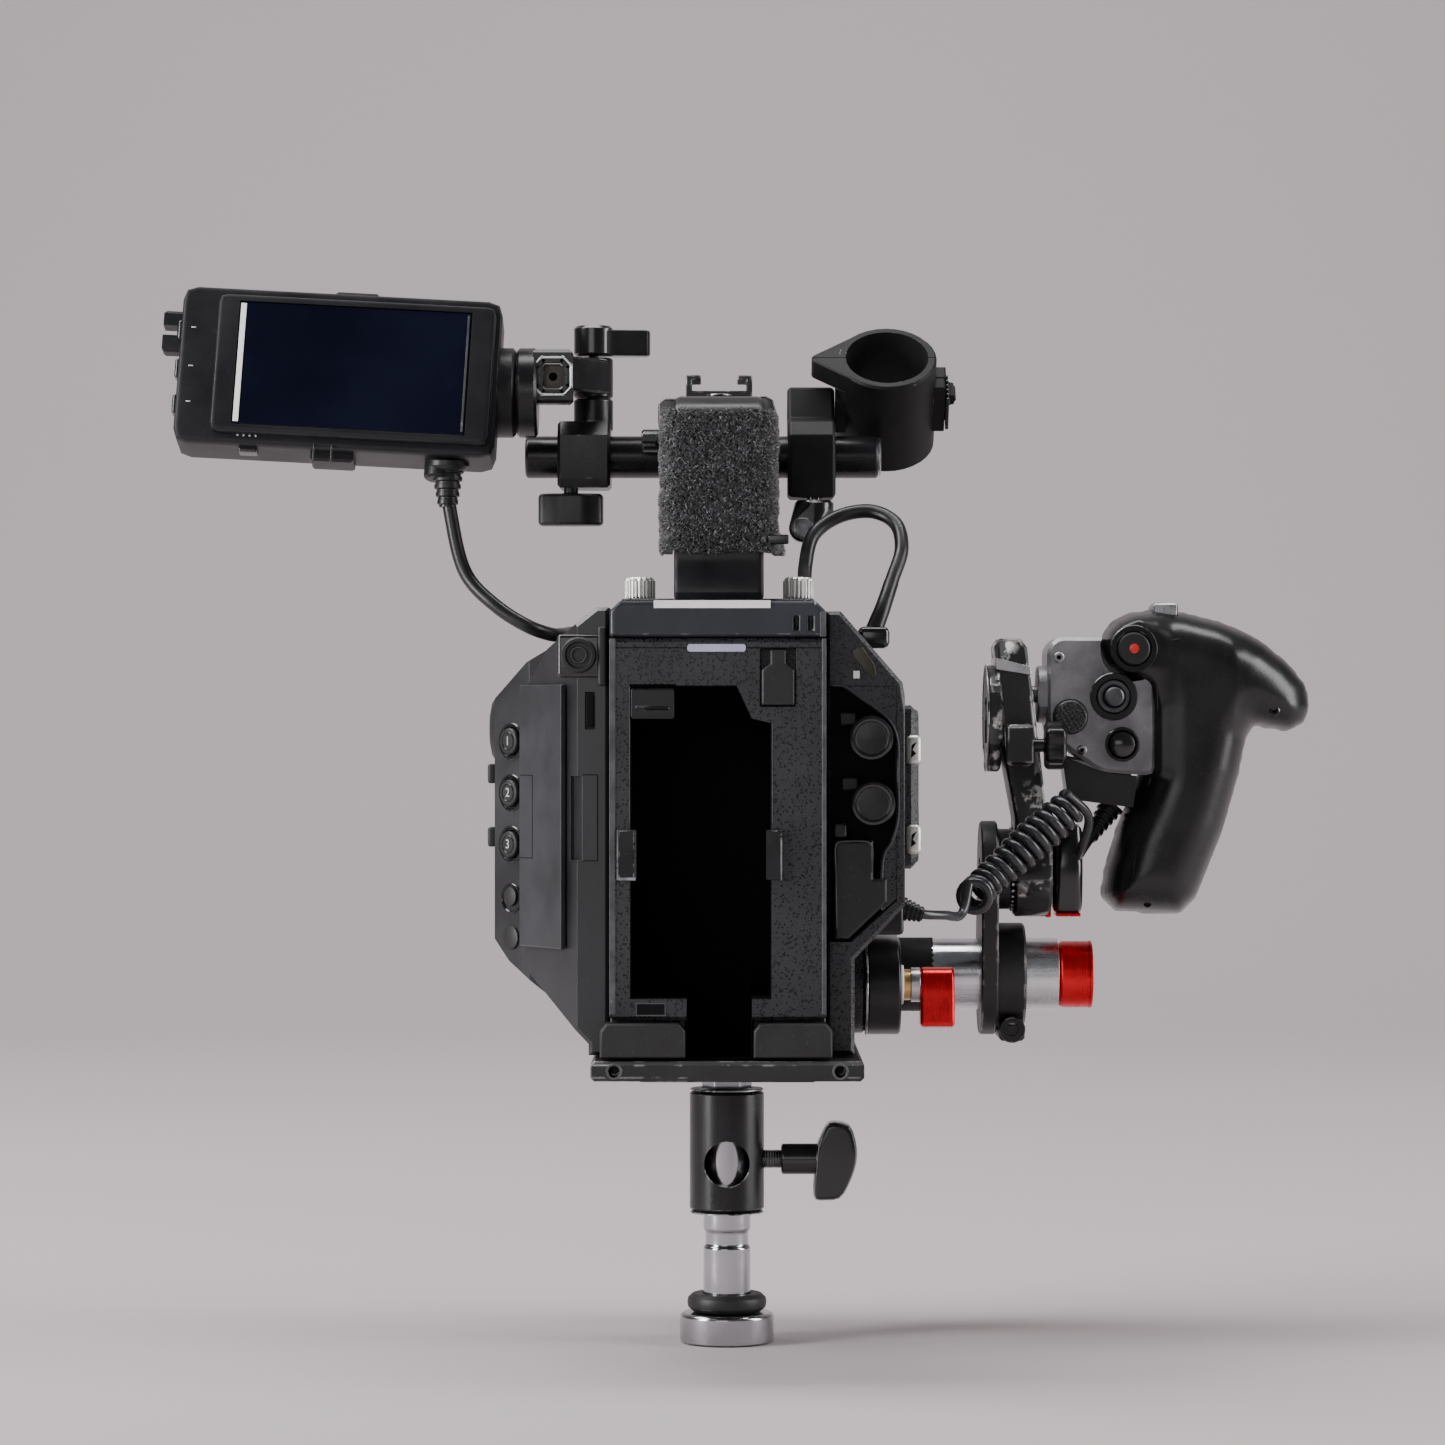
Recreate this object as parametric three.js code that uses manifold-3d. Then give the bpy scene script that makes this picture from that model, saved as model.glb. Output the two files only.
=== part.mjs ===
// Cinema camera rig on a stand spigot. Millimetres, +Z up, +X to the operator's right,
// +Y along the lens axis. The origin is the centre of the stand collar's flat underside.
import * as THREE from "three";
import Module from "manifold-3d";
import { mergeVertices } from "three/addons/utils/BufferGeometryUtils.js";

// ---- driving dimensions -------------------------------------------------
const GAP = 0.3; // clearance between separate pieces
const SPIGOT_R = 8; // 16 mm stand spigot
const COLLAR_R = 16;
const SLEEVE_R = 12.65;
const SLEEVE = [43.9, 85.7]; // bottom and top of the receiver sleeve
const PLATE_X = 43.6; // half width of the base plate
const PLATE = [96, 102.4]; // its underside and deck
const PAD_Z = 95.2; // face of the plate's raised mounting pad
const REAR = -100; // rear face of the camera
const FRONT = 80; // front face of the camera
const CORE = [-37.6, 31.6]; // left and right of the centre section
const CAP = [237.4, 249.1]; // top cap
const LENS = { x: -3, z: 178, r: 33 };
const HANDLE = { x: -2.7, half: 14.7, top: 320 };
const ROD = { r: 7.5, y: 78, z: 304.8, from: -71.7, to: 54 };
const PIVOT_X = -47.5; // monitor arm swings about a vertical pin here
const TILT = { y: 57, z: 326.3 }; // the monitor tilts about this line along X
const SCREEN = { x: -135.7, y: 50, z: 331, w: 112, h: 57, lean: -13, roll: 3 };
const RING = { x: 57.3, y: 94, z: 326.3, inner: 14.8, outer: 17.8, long: 38.6, rise: 48 };
const ARM = { y: 15, z: 119.6, r: 16.5 }; // side arm hinge
const TUBE = { y: 45, z: 122.2, r: 12.5, from: 50, to: 115.6 };
const ROSETTE = { y: 38, z: 159.2, r: 15 };
const HEAD = { y: 42, z: 220, face: 32 }; // grip hinge and the face of its control panel
const RECORD = [140.9, 235.8]; // x and z of the controls on the grip's head
const STICK = [134.2, 219.2];
const RELEASE = [119.2, 212.2];
const MENU = [137.2, 202.6];

const wasm = await Module();
wasm.setup();

// ---- shape helpers ------------------------------------------------------
const V = (x, y, z) => new THREE.Vector3(x, y, z);

function solid(geometry) {
  const bare = geometry.clone();
  bare.deleteAttribute("normal");
  bare.deleteAttribute("uv");
  const merged = mergeVertices(bare, 1e-3);
  const p = merged.getAttribute("position").array;
  const all = merged.index.array;
  const tri = [];
  let volume = 0;
  for (let i = 0; i < all.length; i += 3) {
    const [a, b, c] = [all[i], all[i + 1], all[i + 2]];
    if (a === b || b === c || a === c) continue;
    tri.push(a, b, c);
    const at = (k) => V(p[3 * k], p[3 * k + 1], p[3 * k + 2]);
    volume += at(a).dot(at(b).cross(at(c)));
  }
  if (volume < 0) for (let i = 0; i < tri.length; i += 3) [tri[i], tri[i + 1]] = [tri[i + 1], tri[i]];
  return new wasm.Manifold(
    new wasm.Mesh({ numProp: 3, vertProperties: Float32Array.from(p), triVerts: Uint32Array.from(tri) })
  );
}

const FRAMES = {
  x: [V(0, 1, 0), V(0, 0, 1), V(1, 0, 0), 1],
  y: [V(1, 0, 0), V(0, 0, 1), V(0, -1, 0), -1],
  z: [V(1, 0, 0), V(0, 1, 0), V(0, 0, 1), 1],
};

// A flat outline swept along an axis. Points are the two other coordinates, in x, y, z order.
function prism(axis, points, from, to, { bevel: edge = 0, round = 0, steps = 1 } = {}) {
  const bevel = round > 0 ? Math.min(edge, 0.6 * round) : edge; // a rounded corner keeps some radius
  const [u, v, w, sign] = FRAMES[axis];
  const shape = new THREE.Shape();
  const n = points.length;
  points.forEach((p, i) => {
    const before = new THREE.Vector2(...points[(i + n - 1) % n]);
    const after = new THREE.Vector2(...points[(i + 1) % n]);
    const here = new THREE.Vector2(...p);
    const r = Math.min(round, here.distanceTo(before) * 0.45, here.distanceTo(after) * 0.45);
    const a = here.clone().add(before.sub(here).setLength(r));
    const b = here.clone().add(after.sub(here).setLength(r));
    if (i === 0) shape.moveTo(a.x, a.y);
    else shape.lineTo(a.x, a.y);
    if (r > 0) shape.quadraticCurveTo(here.x, here.y, b.x, b.y);
  });
  shape.closePath();
  const g = new THREE.ExtrudeGeometry(shape, {
    depth: to - from - 2 * bevel,
    bevelEnabled: bevel > 0,
    bevelThickness: bevel,
    bevelSize: bevel,
    bevelOffset: -bevel,
    bevelSegments: steps,
    curveSegments: 2,
  });
  g.translate(0, 0, (sign > 0 ? from : -to) + bevel);
  g.applyMatrix4(new THREE.Matrix4().makeBasis(u, v, w));
  return solid(g);
}

const block = (x0, x1, y0, y1, z0, z1, bevel = 0) =>
  prism("z", [[x0, y0], [x1, y0], [x1, y1], [x0, y1]], z0, z1, { bevel });

// A turned piece: the profile is [radius, distance along the axis].
function turn(axis, [a, b], profile, sides = 22) {
  const g = new THREE.LatheGeometry(profile.map(([r, h]) => new THREE.Vector2(r, h)), sides);
  if (axis === "x") g.rotateZ(-Math.PI / 2).translate(0, a, b);
  if (axis === "y") g.translate(a, 0, b);
  if (axis === "z") g.rotateX(Math.PI / 2).translate(a, b, 0);
  return solid(g);
}

const rod = (axis, at, r, from, to, cut = 0, sides = 22) =>
  turn(axis, at, cut
    ? [[0, from], [r - cut, from], [r, from + cut], [r, to - cut], [r - cut, to], [0, to]]
    : [[0, from], [r, from], [r, to], [0, to]], sides);

const pipe = (axis, at, outer, inner, from, to, cut = 0, sides = 28) =>
  turn(axis, at, cut
    ? [[inner, from], [outer - cut, from], [outer, from + cut], [outer, to - cut],
       [outer - cut, to], [inner, to], [inner, from]]
    : [[inner, from], [outer, from], [outer, to], [inner, to], [inner, from]], sides);

// A cord of radius r through the points.
function cord(points, r, sides = 8, steps = 36) {
  const circle = new THREE.Shape();
  for (let i = 0; i < sides; i++) {
    const t = (i / sides) * 2 * Math.PI;
    circle[i ? "lineTo" : "moveTo"](r * Math.cos(t), r * Math.sin(t));
  }
  circle.closePath();
  const path = new THREE.CatmullRomCurve3(points.map((p) => V(...p)), false, "centripetal");
  return solid(new THREE.ExtrudeGeometry(circle, { steps, extrudePath: path, bevelEnabled: false }));
}

// A knurled or lobed disc: the outline swells n times round.
function lobed(axis, at, r, swell, n, from, to, bevel = 0.6, points = 2) {
  const outline = [];
  for (let i = 0; i < n * points; i++) {
    const t = (i / (n * points)) * 2 * Math.PI;
    const k = r + (i % points === 0 ? swell : -swell);
    outline.push([at[0] + k * Math.cos(t), at[1] + k * Math.sin(t)]);
  }
  return prism(axis, outline, from, to, { bevel });
}

// A hand knob whose outline is a smooth wave of n lobes.
function wavy(axis, at, r, swell, n, from, to, bevel) {
  const count = n * 8;
  const outline = Array.from({ length: count }, (_, i) => {
    const t = (i / count) * 2 * Math.PI;
    const k = r + swell * Math.cos(n * t);
    return [at[0] + k * Math.cos(t), at[1] + k * Math.sin(t)];
  });
  return prism(axis, outline, from, to, { bevel, steps: 2 });
}

const hull = (...parts) => wasm.Manifold.hull(parts);
const place = (m, matrix) => m.transform(matrix.elements);

const group = new THREE.Group();
group.name = "cinema_camera_rig";
const slots = {
  chrome: [0xd9dadd, 1, 0.12], steel: [0x9fa1a5, 1, 0.35], black_metal: [0x17181a, 0.6, 0.42],
  black_paint: [0x1b1c1f, 0.1, 0.62], satin_grey: [0x45474c, 0.2, 0.5], rubber: [0x111112, 0, 0.85],
  aluminium: [0xb9bdc4, 1, 0.3], red_anodised: [0xc3161c, 0.8, 0.35], glass: [0x0a0d1c, 0, 0.08],
  fabric: [0x0d0d0e, 0, 0.95], black_plastic: [0x1a1a1c, 0, 0.5], worn_steel: [0x7d7f83, 1, 0.45],
};
const materials = Object.fromEntries(Object.entries(slots).map(([name, [color, metalness, roughness]]) => [
  name, new THREE.MeshStandardMaterial({ name, color, metalness, roughness }),
]));

function add(name, slot, m) {
  const mesh = m.getMesh();
  const g = new THREE.BufferGeometry();
  g.setAttribute("position", new THREE.Float32BufferAttribute(mesh.vertProperties, 3));
  g.setIndex(Array.from(mesh.triVerts));
  const flat = g.toNonIndexed();
  flat.computeVertexNormals();
  const node = new THREE.Mesh(flat, materials[slot]);
  node.name = name;
  group.add(node);
}

// ---- stand top ----------------------------------------------------------
add("stand_spigot", "chrome", turn("z", [0, 0], [
  [0, 0], [COLLAR_R, 0], [COLLAR_R, 8.9], [COLLAR_R - 1, 9.9], [SPIGOT_R, 9.9], [SPIGOT_R, 32],
  [SPIGOT_R - 0.7, 32.7], [SPIGOT_R - 0.7, 37.3], [SPIGOT_R, 38], [SPIGOT_R, 78.5], [SPIGOT_R - 1.5, 80], [0, 80],
], 32));
add("spigot_ring", "rubber", turn("z", [0, 0], [
  [8.3, 10.2], [11.6, 10.2], [13.2, 11.6], [13.5, 13.3], [13.2, 15], [11.6, 16.4], [8.3, 16.4], [8.3, 10.2],
], 28));
add("receiver_sleeve", "black_metal",
  rod("z", [0, 0], SLEEVE_R, ...SLEEVE, 1.5, 32)
    .subtract(rod("z", [0, 0], SPIGOT_R + GAP, 40, 81.5))
    .subtract(rod("y", [0, 61], 7.75, -15, 0))
    .subtract(rod("x", [0, 61.8], 3.3, 0, 15)));
add("mount_nut", "worn_steel", prism("z", Array.from({ length: 6 }, (_, i) => [
  8.6 * Math.cos(i * Math.PI / 3), 8.6 * Math.sin(i * Math.PI / 3),
]), SLEEVE[1] + 0.2, PLATE[0] - 0.2, { bevel: 0.7 }));
const wing = prism("y", [[34.4, 13], [42, 12.2], [43.8, 6.6], [44.4, 1.4], [43.4, -3.6], [41.2, -9], [38.4, -13.6],
  [29.6, -13.8], [29.2, -10], [30.4, 4.6], [32.2, 8.8]], -6.2, 6.2, { bevel: 2, round: 3.4, steps: 2 });
add("sleeve_knob", "black_plastic",
  rod("x", [0, 0], 3, 8.6, 20).add(rod("x", [0, 0], 5.25, 18.4, 33, 0.6)).add(wing)
    .translate([0, 0, 61.8]));
add("base_plate", "black_metal",
  block(-PLATE_X, PLATE_X, -105, 45, ...PLATE, 1.2)
    .add(block(-28, 28, -97, -46, PAD_Z, PLATE[0] + 0.6, 0.3))
    .subtract(rod("y", [-36, 99.2], 1.9, -107, -95, 0, 12))
    .subtract(rod("y", [36, 99.2], 1.9, -107, -95, 0, 12))
    .subtract(rod("z", [0, 28], 4.8, 90, 110, 0, 20))
    .subtract(rod("z", [0, -40], 3.2, 90, 110, 0, 20)));

// ---- camera body --------------------------------------------------------
const bay = [[-31, 122], [-13, 122], [-13, 90], [8, 90], [8, 122], [14.2, 122], [14.2, 210], [8, 211.5],
  [3, 222], [-31, 222]];
const throat = rod("y", [LENS.x, LENS.z], 25, 62, FRONT + 5);
const release = [-31, -16.6, 211, 221.4];
add("body_chassis", "black_paint",
  block(...CORE, REAR + 8, FRONT, 102.7, CAP[0] - GAP, 1)
    .subtract(prism("y", bay, REAR, -22))
    .subtract(throat));
add("rear_panel", "black_paint",
  block(...CORE, REAR, REAR + 7.7, 115, CAP[0] - GAP, 1.4)
    .subtract(prism("y", bay, REAR - 2, REAR + 10))
    .subtract(block(10.4, 22, REAR - 2, REAR + 5, 215.2, 233.9))
    .subtract(block(release[0] - 0.2, release[1] + GAP, REAR - 2, REAR + 10, 210.6, 222.4))
    .add(block(-34.8, -29, REAR - 1.5, REAR + 1, 160, 176, 0.4))
    .add(block(12.6, 17.4, REAR - 1.5, REAR + 1, 160, 176, 0.4)));
add("top_cap", "satin_grey",
  prism("y", [[CORE[0], CAP[0]], [CORE[1], CAP[0]], [CORE[1], CAP[1] - 3.4], [CORE[1] - 3.4, CAP[1]],
    [CORE[0] + 3.4, CAP[1]], [CORE[0], CAP[1] - 3.4]], REAR, FRONT, { bevel: 1 })
    .subtract(block(21.2, 22.8, REAR - 2, REAR + 3, 239.8, 244.2))
    .subtract(block(25.8, 27.4, REAR - 2, REAR + 3, 239.8, 244.2)));

const doorLine = { from: V(-47, -93, 0), along: V(-21, 38, 0).normalize(), out: V(-38, -21, 0).normalize() };
const onDoor = (t, off) => {
  const p = doorLine.from.clone().addScaledVector(doorLine.along, t).addScaledVector(doorLine.out, off);
  return [p.x, p.y];
};
const leftX = CORE[0] - GAP;
const leftShell = prism("y", [[leftX, 247.2], [-42, 247.2], [-58.5, 234], [-66.3, 221], [-66.3, 130],
  [-44.5, 107], [-44.5, 103.4], [leftX, 103.4]], REAR + 9, FRONT - 2, { bevel: 1.2 });
const bulge = prism("z", [[-58, -54], [-65, -54], [-77, -41], [-77, 58], [-70, 67], [-58, 67]], 110, 240)
  .intersect(prism("y", [[-56, 236], [-66, 230], [-78, 217], [-78, 140], [-72, 131.5], [-63, 124], [-56, 118.5]], -60, 70));
// The slanting wall behind the door carries three round keys.
const keyOut = V(-13, -12, 0).normalize();
const keyFrame = (z) => new THREE.Matrix4()
  .makeBasis(V(-keyOut.y, keyOut.x, 0), V(0, 0, 1), keyOut)
  .setPosition(-71, -47.5, z);
const keys = [204, 187, 170];
add("left_housing", "black_paint",
  leftShell
    .subtract(prism("z", [onDoor(-12, 0), onDoor(43.4, 0), onDoor(60, 20), onDoor(-12, 40)], 90, 260))
    .add(bulge)
    .subtract(prism("z", [onDoor(1, -1.4), onDoor(7.2, -1.4), onDoor(7.2, 2), onDoor(1, 2)], 166, 193))
    .subtract(block(-45.6, -42.4, REAR, REAR + 13, 208, 220))
    .subtract(rod("y", [-48, 232], 4.4, REAR, REAR + 20, 0, 20))
    .subtract(rod("x", [5, 208], 4.6, -80, -70, 0, 20))
    .subtract(keys.map((z) => place(rod("z", [0, 0], 4.8, -3.2, 6, 0, 18), keyFrame(z)))
      .reduce((a, b) => a.add(b))));
keys.forEach((z, i) => add(`user_button_${i + 1}`, "rubber",
  place(rod("z", [0, 0], 4.4, -1.4, 1.8, 0.5, 18), keyFrame(z))));
add("media_door", "satin_grey",
  prism("z", [onDoor(9.6, 0.4), onDoor(39.6, 0.4), onDoor(39.6, 2.2), onDoor(9.6, 2.2)], 137, 222.5, { bevel: 0.4 }));
add("select_dial", "rubber",
  rod("x", [5, 208], 4.2, -79, -71, 0, 20)
    .add(turn("x", [5, 208], [[0, -81], [5, -80.8], [9, -80], [11, -78.6], [11, -77.3], [0, -77.3]], 28)));

const rightX = CORE[1] + GAP;
const rightShell = prism("y", [[rightX, 246], [36.5, 246], [56.5, 223], [58, 214], [58, 152], [41, 134],
  [41, 103.4], [rightX, 103.4]], REAR + 13, FRONT - 2, { bevel: 1.2 });
const sideways = prism("x", [[-22, 161], [42, 161], [42, 216], [-22, 216]], 55, 64.4, { bevel: 2.6, round: 5 });
add("right_housing", "black_paint",
  rightShell
    .subtract(prism("z", [[57.2, -90], [57.2, -62], [70, -62], [70, -90]], 90, 260))
    .subtract(block(33, 54.6, REAR, REAR + 18, 176.5, 222))
    .subtract(prism("y", [[33, 177], [33, 139.6], [40, 139.6], [54.6, 153], [54.6, 177]], REAR, REAR + 18))
    .add(sideways)
    .subtract(rod("x", [10, 202], 10.5, 52, 66, 0, 18))
    .subtract(rod("x", [10, 175], 10.5, 52, 66, 0, 18))
    .add(rod("x", [ARM.y, ARM.z], 16, 39, 47.2, 1)));

const foot = (x0, x1) => prism("y", [[x0, 103.2], [x1, 103.2], [x1, 112], [x1 - 2, 114.4], [x0 + 2, 114.4],
  [x0, 112]], -104, REAR + 7.6, { bevel: 1.2, steps: 2 });
add("foot_left", "rubber", foot(-40.6, -13.3));
add("foot_right", "rubber", foot(8.3, 33.5));
add("lens_mount", "steel",
  turn("y", [LENS.x, LENS.z], [[25, FRONT + 0.2], [LENS.r, FRONT + 0.2], [LENS.r, FRONT + 7],
    [LENS.r - 1, FRONT + 8], [LENS.r - 4, FRONT + 8], [LENS.r - 4, FRONT + 12], [27, FRONT + 12],
    [25, FRONT + 10], [25, FRONT + 0.2]], 40));
add("sensor_glass", "glass", block(LENS.x - 18, LENS.x + 18, 62.3, 63.5, LENS.z - 11, LENS.z + 11));
add("battery_release", "black_plastic",
  block(release[0] + GAP, release[1] - GAP, REAR - 0.6, REAR + 5.4, 211.2, 221.2, 0.5)
    .subtract(block(release[0] + 2, release[1] - 2, REAR - 2, REAR + 0.2, 214.4, 215.2)));
add("dc_cover", "rubber",
  prism("y", [[10.9, 215.7], [21.5, 215.7], [21.5, 227], [18.8, 229], [18.8, 233.4], [13.6, 233.4], [13.6, 229],
    [10.9, 227]], REAR - 0.8, REAR + 2.6, { bevel: 0.6 }));
const sdiCap = (x, z) => rod("y", [x, z], 7.2, REAR + 8, REAR + 17.5, 0.8)
  .subtract(pipe("y", [x, z], 5.6, 4.9, REAR + 7, REAR + 8.8, 0, 18))
  .add(block(x - 9.6, x - 5, REAR + 14, REAR + 17.5, z + 4, z + 8.4, 0.6));
add("sdi_cap_upper", "rubber", sdiCap(46.2, 205.2));
add("sdi_cap_lower", "rubber", sdiCap(46.8, 184.2));
add("port_cover", "rubber",
  prism("y", [[34.4, 172.3], [34.4, 140.6], [39, 140.6], [51.5, 152.4], [51.5, 160], [47, 160], [47, 172.3]],
    REAR + 11.5, REAR + 17.5, { bevel: 0.8 }));

// ---- handle, shoe and rod -----------------------------------------------
const hx0 = HANDLE.x - HANDLE.half;
const hx1 = HANDLE.x + HANDLE.half;
const side = [[-66, CAP[1] + GAP], [94, CAP[1] + GAP], [94, 312], [88, HANDLE.top], [-4, HANDLE.top],
  [-55, HANDLE.top - 2.6], [-62.5, 311], [-62.5, 262], [-66, 256]];
const handGap = [[-31, 257], [58, 257], [60, 262], [60, 288], [56, 294], [-26, 294], [-31, 288]];
add("handle", "black_plastic",
  prism("x", side, hx0, hx1, { bevel: 2, round: 4, steps: 2 })
    .subtract(prism("x", handGap, -30, 30, { round: 3 }))
    .add(block(-33.6, 28.4, -52, -28, CAP[1] + GAP, 251, 0.4))
    .subtract(rod("x", [ROD.y, ROD.z], ROD.r + GAP, -40, 40))
    .subtract(rod("z", [-28.8, -40], 2.4, 240, 260, 0, 12))
    .subtract(rod("z", [23.6, -40], 2.4, 240, 260, 0, 12))
    .subtract(rod("x", [58, 309.5], 2.6, -30, -10, 0, 12)));
const screw = (x) => lobed("z", [x, -40], 4.7, 0.25, 16, 251.2, 258.3, 0.6)
  .subtract(block(x - 6, x + 6, -40.6, -39.4, 257.2, 259))
  .add(rod("z", [x, -40], 2.1, 249.6, 252, 0, 12));
add("handle_screw_left", "steel", screw(-28.8));
add("handle_screw_right", "steel", screw(23.6));
add("cold_shoe", "worn_steel",
  prism("y", [[-14, 320.3], [8.7, 320.3], [8.7, 329], [3.6, 329], [3.6, 327.2], [6.7, 327.2], [6.7, 323.6],
    [-12, 323.6], [-12, 327.2], [-8.9, 327.2], [-8.9, 329], [-14, 329]], 8, 30, {}));
add("handle_wrap", "fabric",
  prism("z", [[hx0 - 3.6, -66.4], [hx1 + 3.6, -66.4], [hx1 + 3.6, -36], [hx1 + GAP, -36], [hx1 + GAP, -62.9],
    [hx0 - GAP, -62.9], [hx0 - GAP, -36], [hx0 - 3.6, -36]], 266, 312, { bevel: 0.5 }));
add("cross_rod", "black_metal", rod("x", [ROD.y, ROD.z], ROD.r, ROD.from, ROD.to, 0.8, 32));
add("rod_lock_lever", "black_metal",
  rod("x", [58, 309.5], 2.3, -23, -11, 0, 12).add(rod("x", [58, 309.5], 4, -30, -21, 0.6, 18))
    .add(block(-29.5, -24.5, 40, 58, 307.4, 311.6, 0.8)));

// ---- monitor, its clamp and arm -----------------------------------------
add("monitor_clamp", "black_metal",
  prism("x", [[66, 293.4], [90, 293.4], [91, 297], [91, 312], [86, 317.2], [70, 317.2], [65, 312], [65, 297]],
    -60, -41.3, { bevel: 1 })
    .add(rod("z", [PIVOT_X, ROD.y], 7, 314, 325.4, 0.6))
    .subtract(rod("x", [ROD.y, ROD.z], ROD.r + GAP, -70, -30))
    .subtract(rod("z", [-55.3, 70], 2.9, 290, 296.5, 0, 12))
    .subtract(rod("z", [PIVOT_X, ROD.y], 3.4, 318, 330, 0, 12)));
add("monitor_clamp_knob", "black_plastic",
  rod("z", [-55.3, 70], 2.6, 289, 296.2, 0, 12)
    .add(prism("z", [[-66.8, 66], [-60, 63.5], [-50, 63.5], [-43.8, 66], [-43.8, 74], [-50, 76.5], [-60, 76.5],
      [-66.8, 74]], 280, 291.3, { bevel: 1.4, round: 2, steps: 2 })));
add("monitor_arm", "black_metal",
  rod("z", [PIVOT_X, ROD.y], 7, 325.8, 340, 0.6)
    .add(prism("z", [[-68, 50], [-56, 50], [-53, 54], [-41.5, 74], [-41, 84], [-53, 84], [-60, 66], [-68, 64]],
      327, 339, { bevel: 0.8 }))
    .add(block(-68, -54, 47, 58, 322, 341, 1.2))
    .add(rod("x", [TILT.y, TILT.z], 15.8, -73.8, -66.5, 1))
    .subtract(block(-64.4, -57.6, 44, 53, 325.6, 337.4))
    .subtract(rod("z", [PIVOT_X, ROD.y], 2.7, 320, 345, 0, 12)));
add("monitor_arm_knob", "black_plastic",
  rod("z", [PIVOT_X, ROD.y], 1.6, 320.5, 342, 0, 12)
    .add(rod("z", [PIVOT_X, ROD.y], 7, 340.6, 351.5, 1))
    .add(prism("z", [[PIVOT_X - 4, 73], [PIVOT_X + 6, 73], [-28, 74.6], [-27, 78], [-28, 81.4], [PIVOT_X + 6, 83],
      [PIVOT_X - 4, 83]], 340.6, 350, { bevel: 1.4, round: 1.5, steps: 2 })));

const DEG = Math.PI / 180;
const pose = new THREE.Matrix4().makeTranslation(SCREEN.x, SCREEN.y, SCREEN.z)
  .multiply(new THREE.Matrix4().makeRotationY(SCREEN.roll * DEG))
  .multiply(new THREE.Matrix4().makeRotationX(SCREEN.lean * DEG));
const sw = SCREEN.w / 2;
const sh = SCREEN.h / 2;
const frame = (w, h, y0, y1, bevel, round) =>
  prism("y", [[-w, -h], [w, -h], [w, h], [-w, h]], y0, y1, { bevel, round, steps: 2 });
add("monitor_case", "black_plastic",
  place(frame(sw, sh, -9, 13, 2, 5)
    .add(frame(48.5, 25, -13, -5, 1.6, 3).translate([5.5, 0, 0]))
    .add(block(-sw - 7, -sw + 3, -2, 5, 6, 21, 1))
    .subtract(block(-sw - 8, -sw - 2, -4, 7, 12, 15.5))
    .add(block(-3, 12, -4, 8, sh - 2, sh + 2, 0.8))
    .add(block(-8, 7, -4, 8, -sh - 3, -sh + 2, 0.8))
    .add(rod("z", [37, 2], 5.5, -sh - 6, -sh + 2, 0.8, 18))
    .subtract(block(-35.6, 45.8, -16, -11.4, -22.4, 22.4)), pose)
    .add(rod("x", [TILT.y, TILT.z], 15.8, -82, -74.2, 1)));
add("monitor_screen", "glass", place(block(-35.3, 45.5, -12.6, -11.7, -22.1, 22.1), pose));
const jackAt = V(37, 2, -sh - 7).applyMatrix4(pose);
const jack = [jackAt.x, jackAt.y, jackAt.z];
add("monitor_cable", "rubber", cord([jack, [jack[0] + 1.5, jack[1] - 1, jack[2] - 12],
  [-91, 43, 262], [-80, 38, 249.5], [-68, 32, 243], [-60, 34, 242.5], [-55, 48, 245], [-53, 64, 246],
  [-51.5, 80, 242], [-50.5, 86.5, 233], [-50, 86.5, 222], [-50, 81.6, 213]], 2.5, 8, 32));

// ---- microphone clamp and ring ------------------------------------------
const tip = new THREE.Matrix4()
  .makeRotationX((90 - RING.rise) * DEG)
  .setPosition(RING.x, RING.y, RING.z);
add("mic_clamp", "black_metal",
  prism("x", [[66, 290], [90, 290], [91, 296], [91, 313], [98.4, 320.2], [89, 330.6], [86, 330],
    [80, 319], [70, 317.2], [65, 312], [65, 296]], 21.7, 38.6, { bevel: 1 })
    .subtract(rod("x", [ROD.y, ROD.z], ROD.r + GAP, 10, 50))
    .subtract(rod("z", [31, 70], 2.9, 280, 293, 0, 12)));
add("mic_clamp_knob", "black_plastic",
  rod("z", [31, 70], 2.6, 287, 292.6, 0, 12)
    .add(hull(rod("z", [31, 70], 7, 284, 289, 1), rod("y", [27, 279], 5, 63, 75, 1)))
    .add(rod("y", [27, 279], 3.6, 61.6, 64, 0.4, 16)));
const half = (up) => {
  const s = up ? 1 : -1;
  return prism("z", [[-40, s * GAP / 2], [40, s * GAP / 2], [40, s * 40], [-40, s * 40]], -30, 30);
};
const band = pipe("z", [0, 0], RING.outer, RING.inner, -RING.long / 2, RING.long / 2, 0.8, 32);
const bore = rod("z", [0, 0], RING.inner, -30, 30, 0, 32);
const arc = half(false);
const hinge = hull(rod("z", [0, 0], RING.outer - 0.4, 11, 19.2, 0.5, 32), rod("z", [-24.4, 0], 2.6, 11, 19.2, 0.5, 16));
const ringEar = block(16, 21, -6, 6, -10, 10, 0.6).add(hinge);
add("mic_ring", "black_metal",
  place(band.add(ringEar.add(block(-18.4, -14, -10, 0, -7, 7)).subtract(bore)).intersect(arc), tip));
add("mic_ring_gate", "black_metal",
  place(band.add(block(16, 21.5, 0, 7, -10, 10, 0.6).add(hinge).subtract(bore))
    .intersect(half(true))
    .add(lobed("y", [22.5, 0], 2.6, 0.2, 8, -1, 8, 0.4)
      .subtract(block(10, 40, -3, GAP / 2, -20, 20))), tip));

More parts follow.
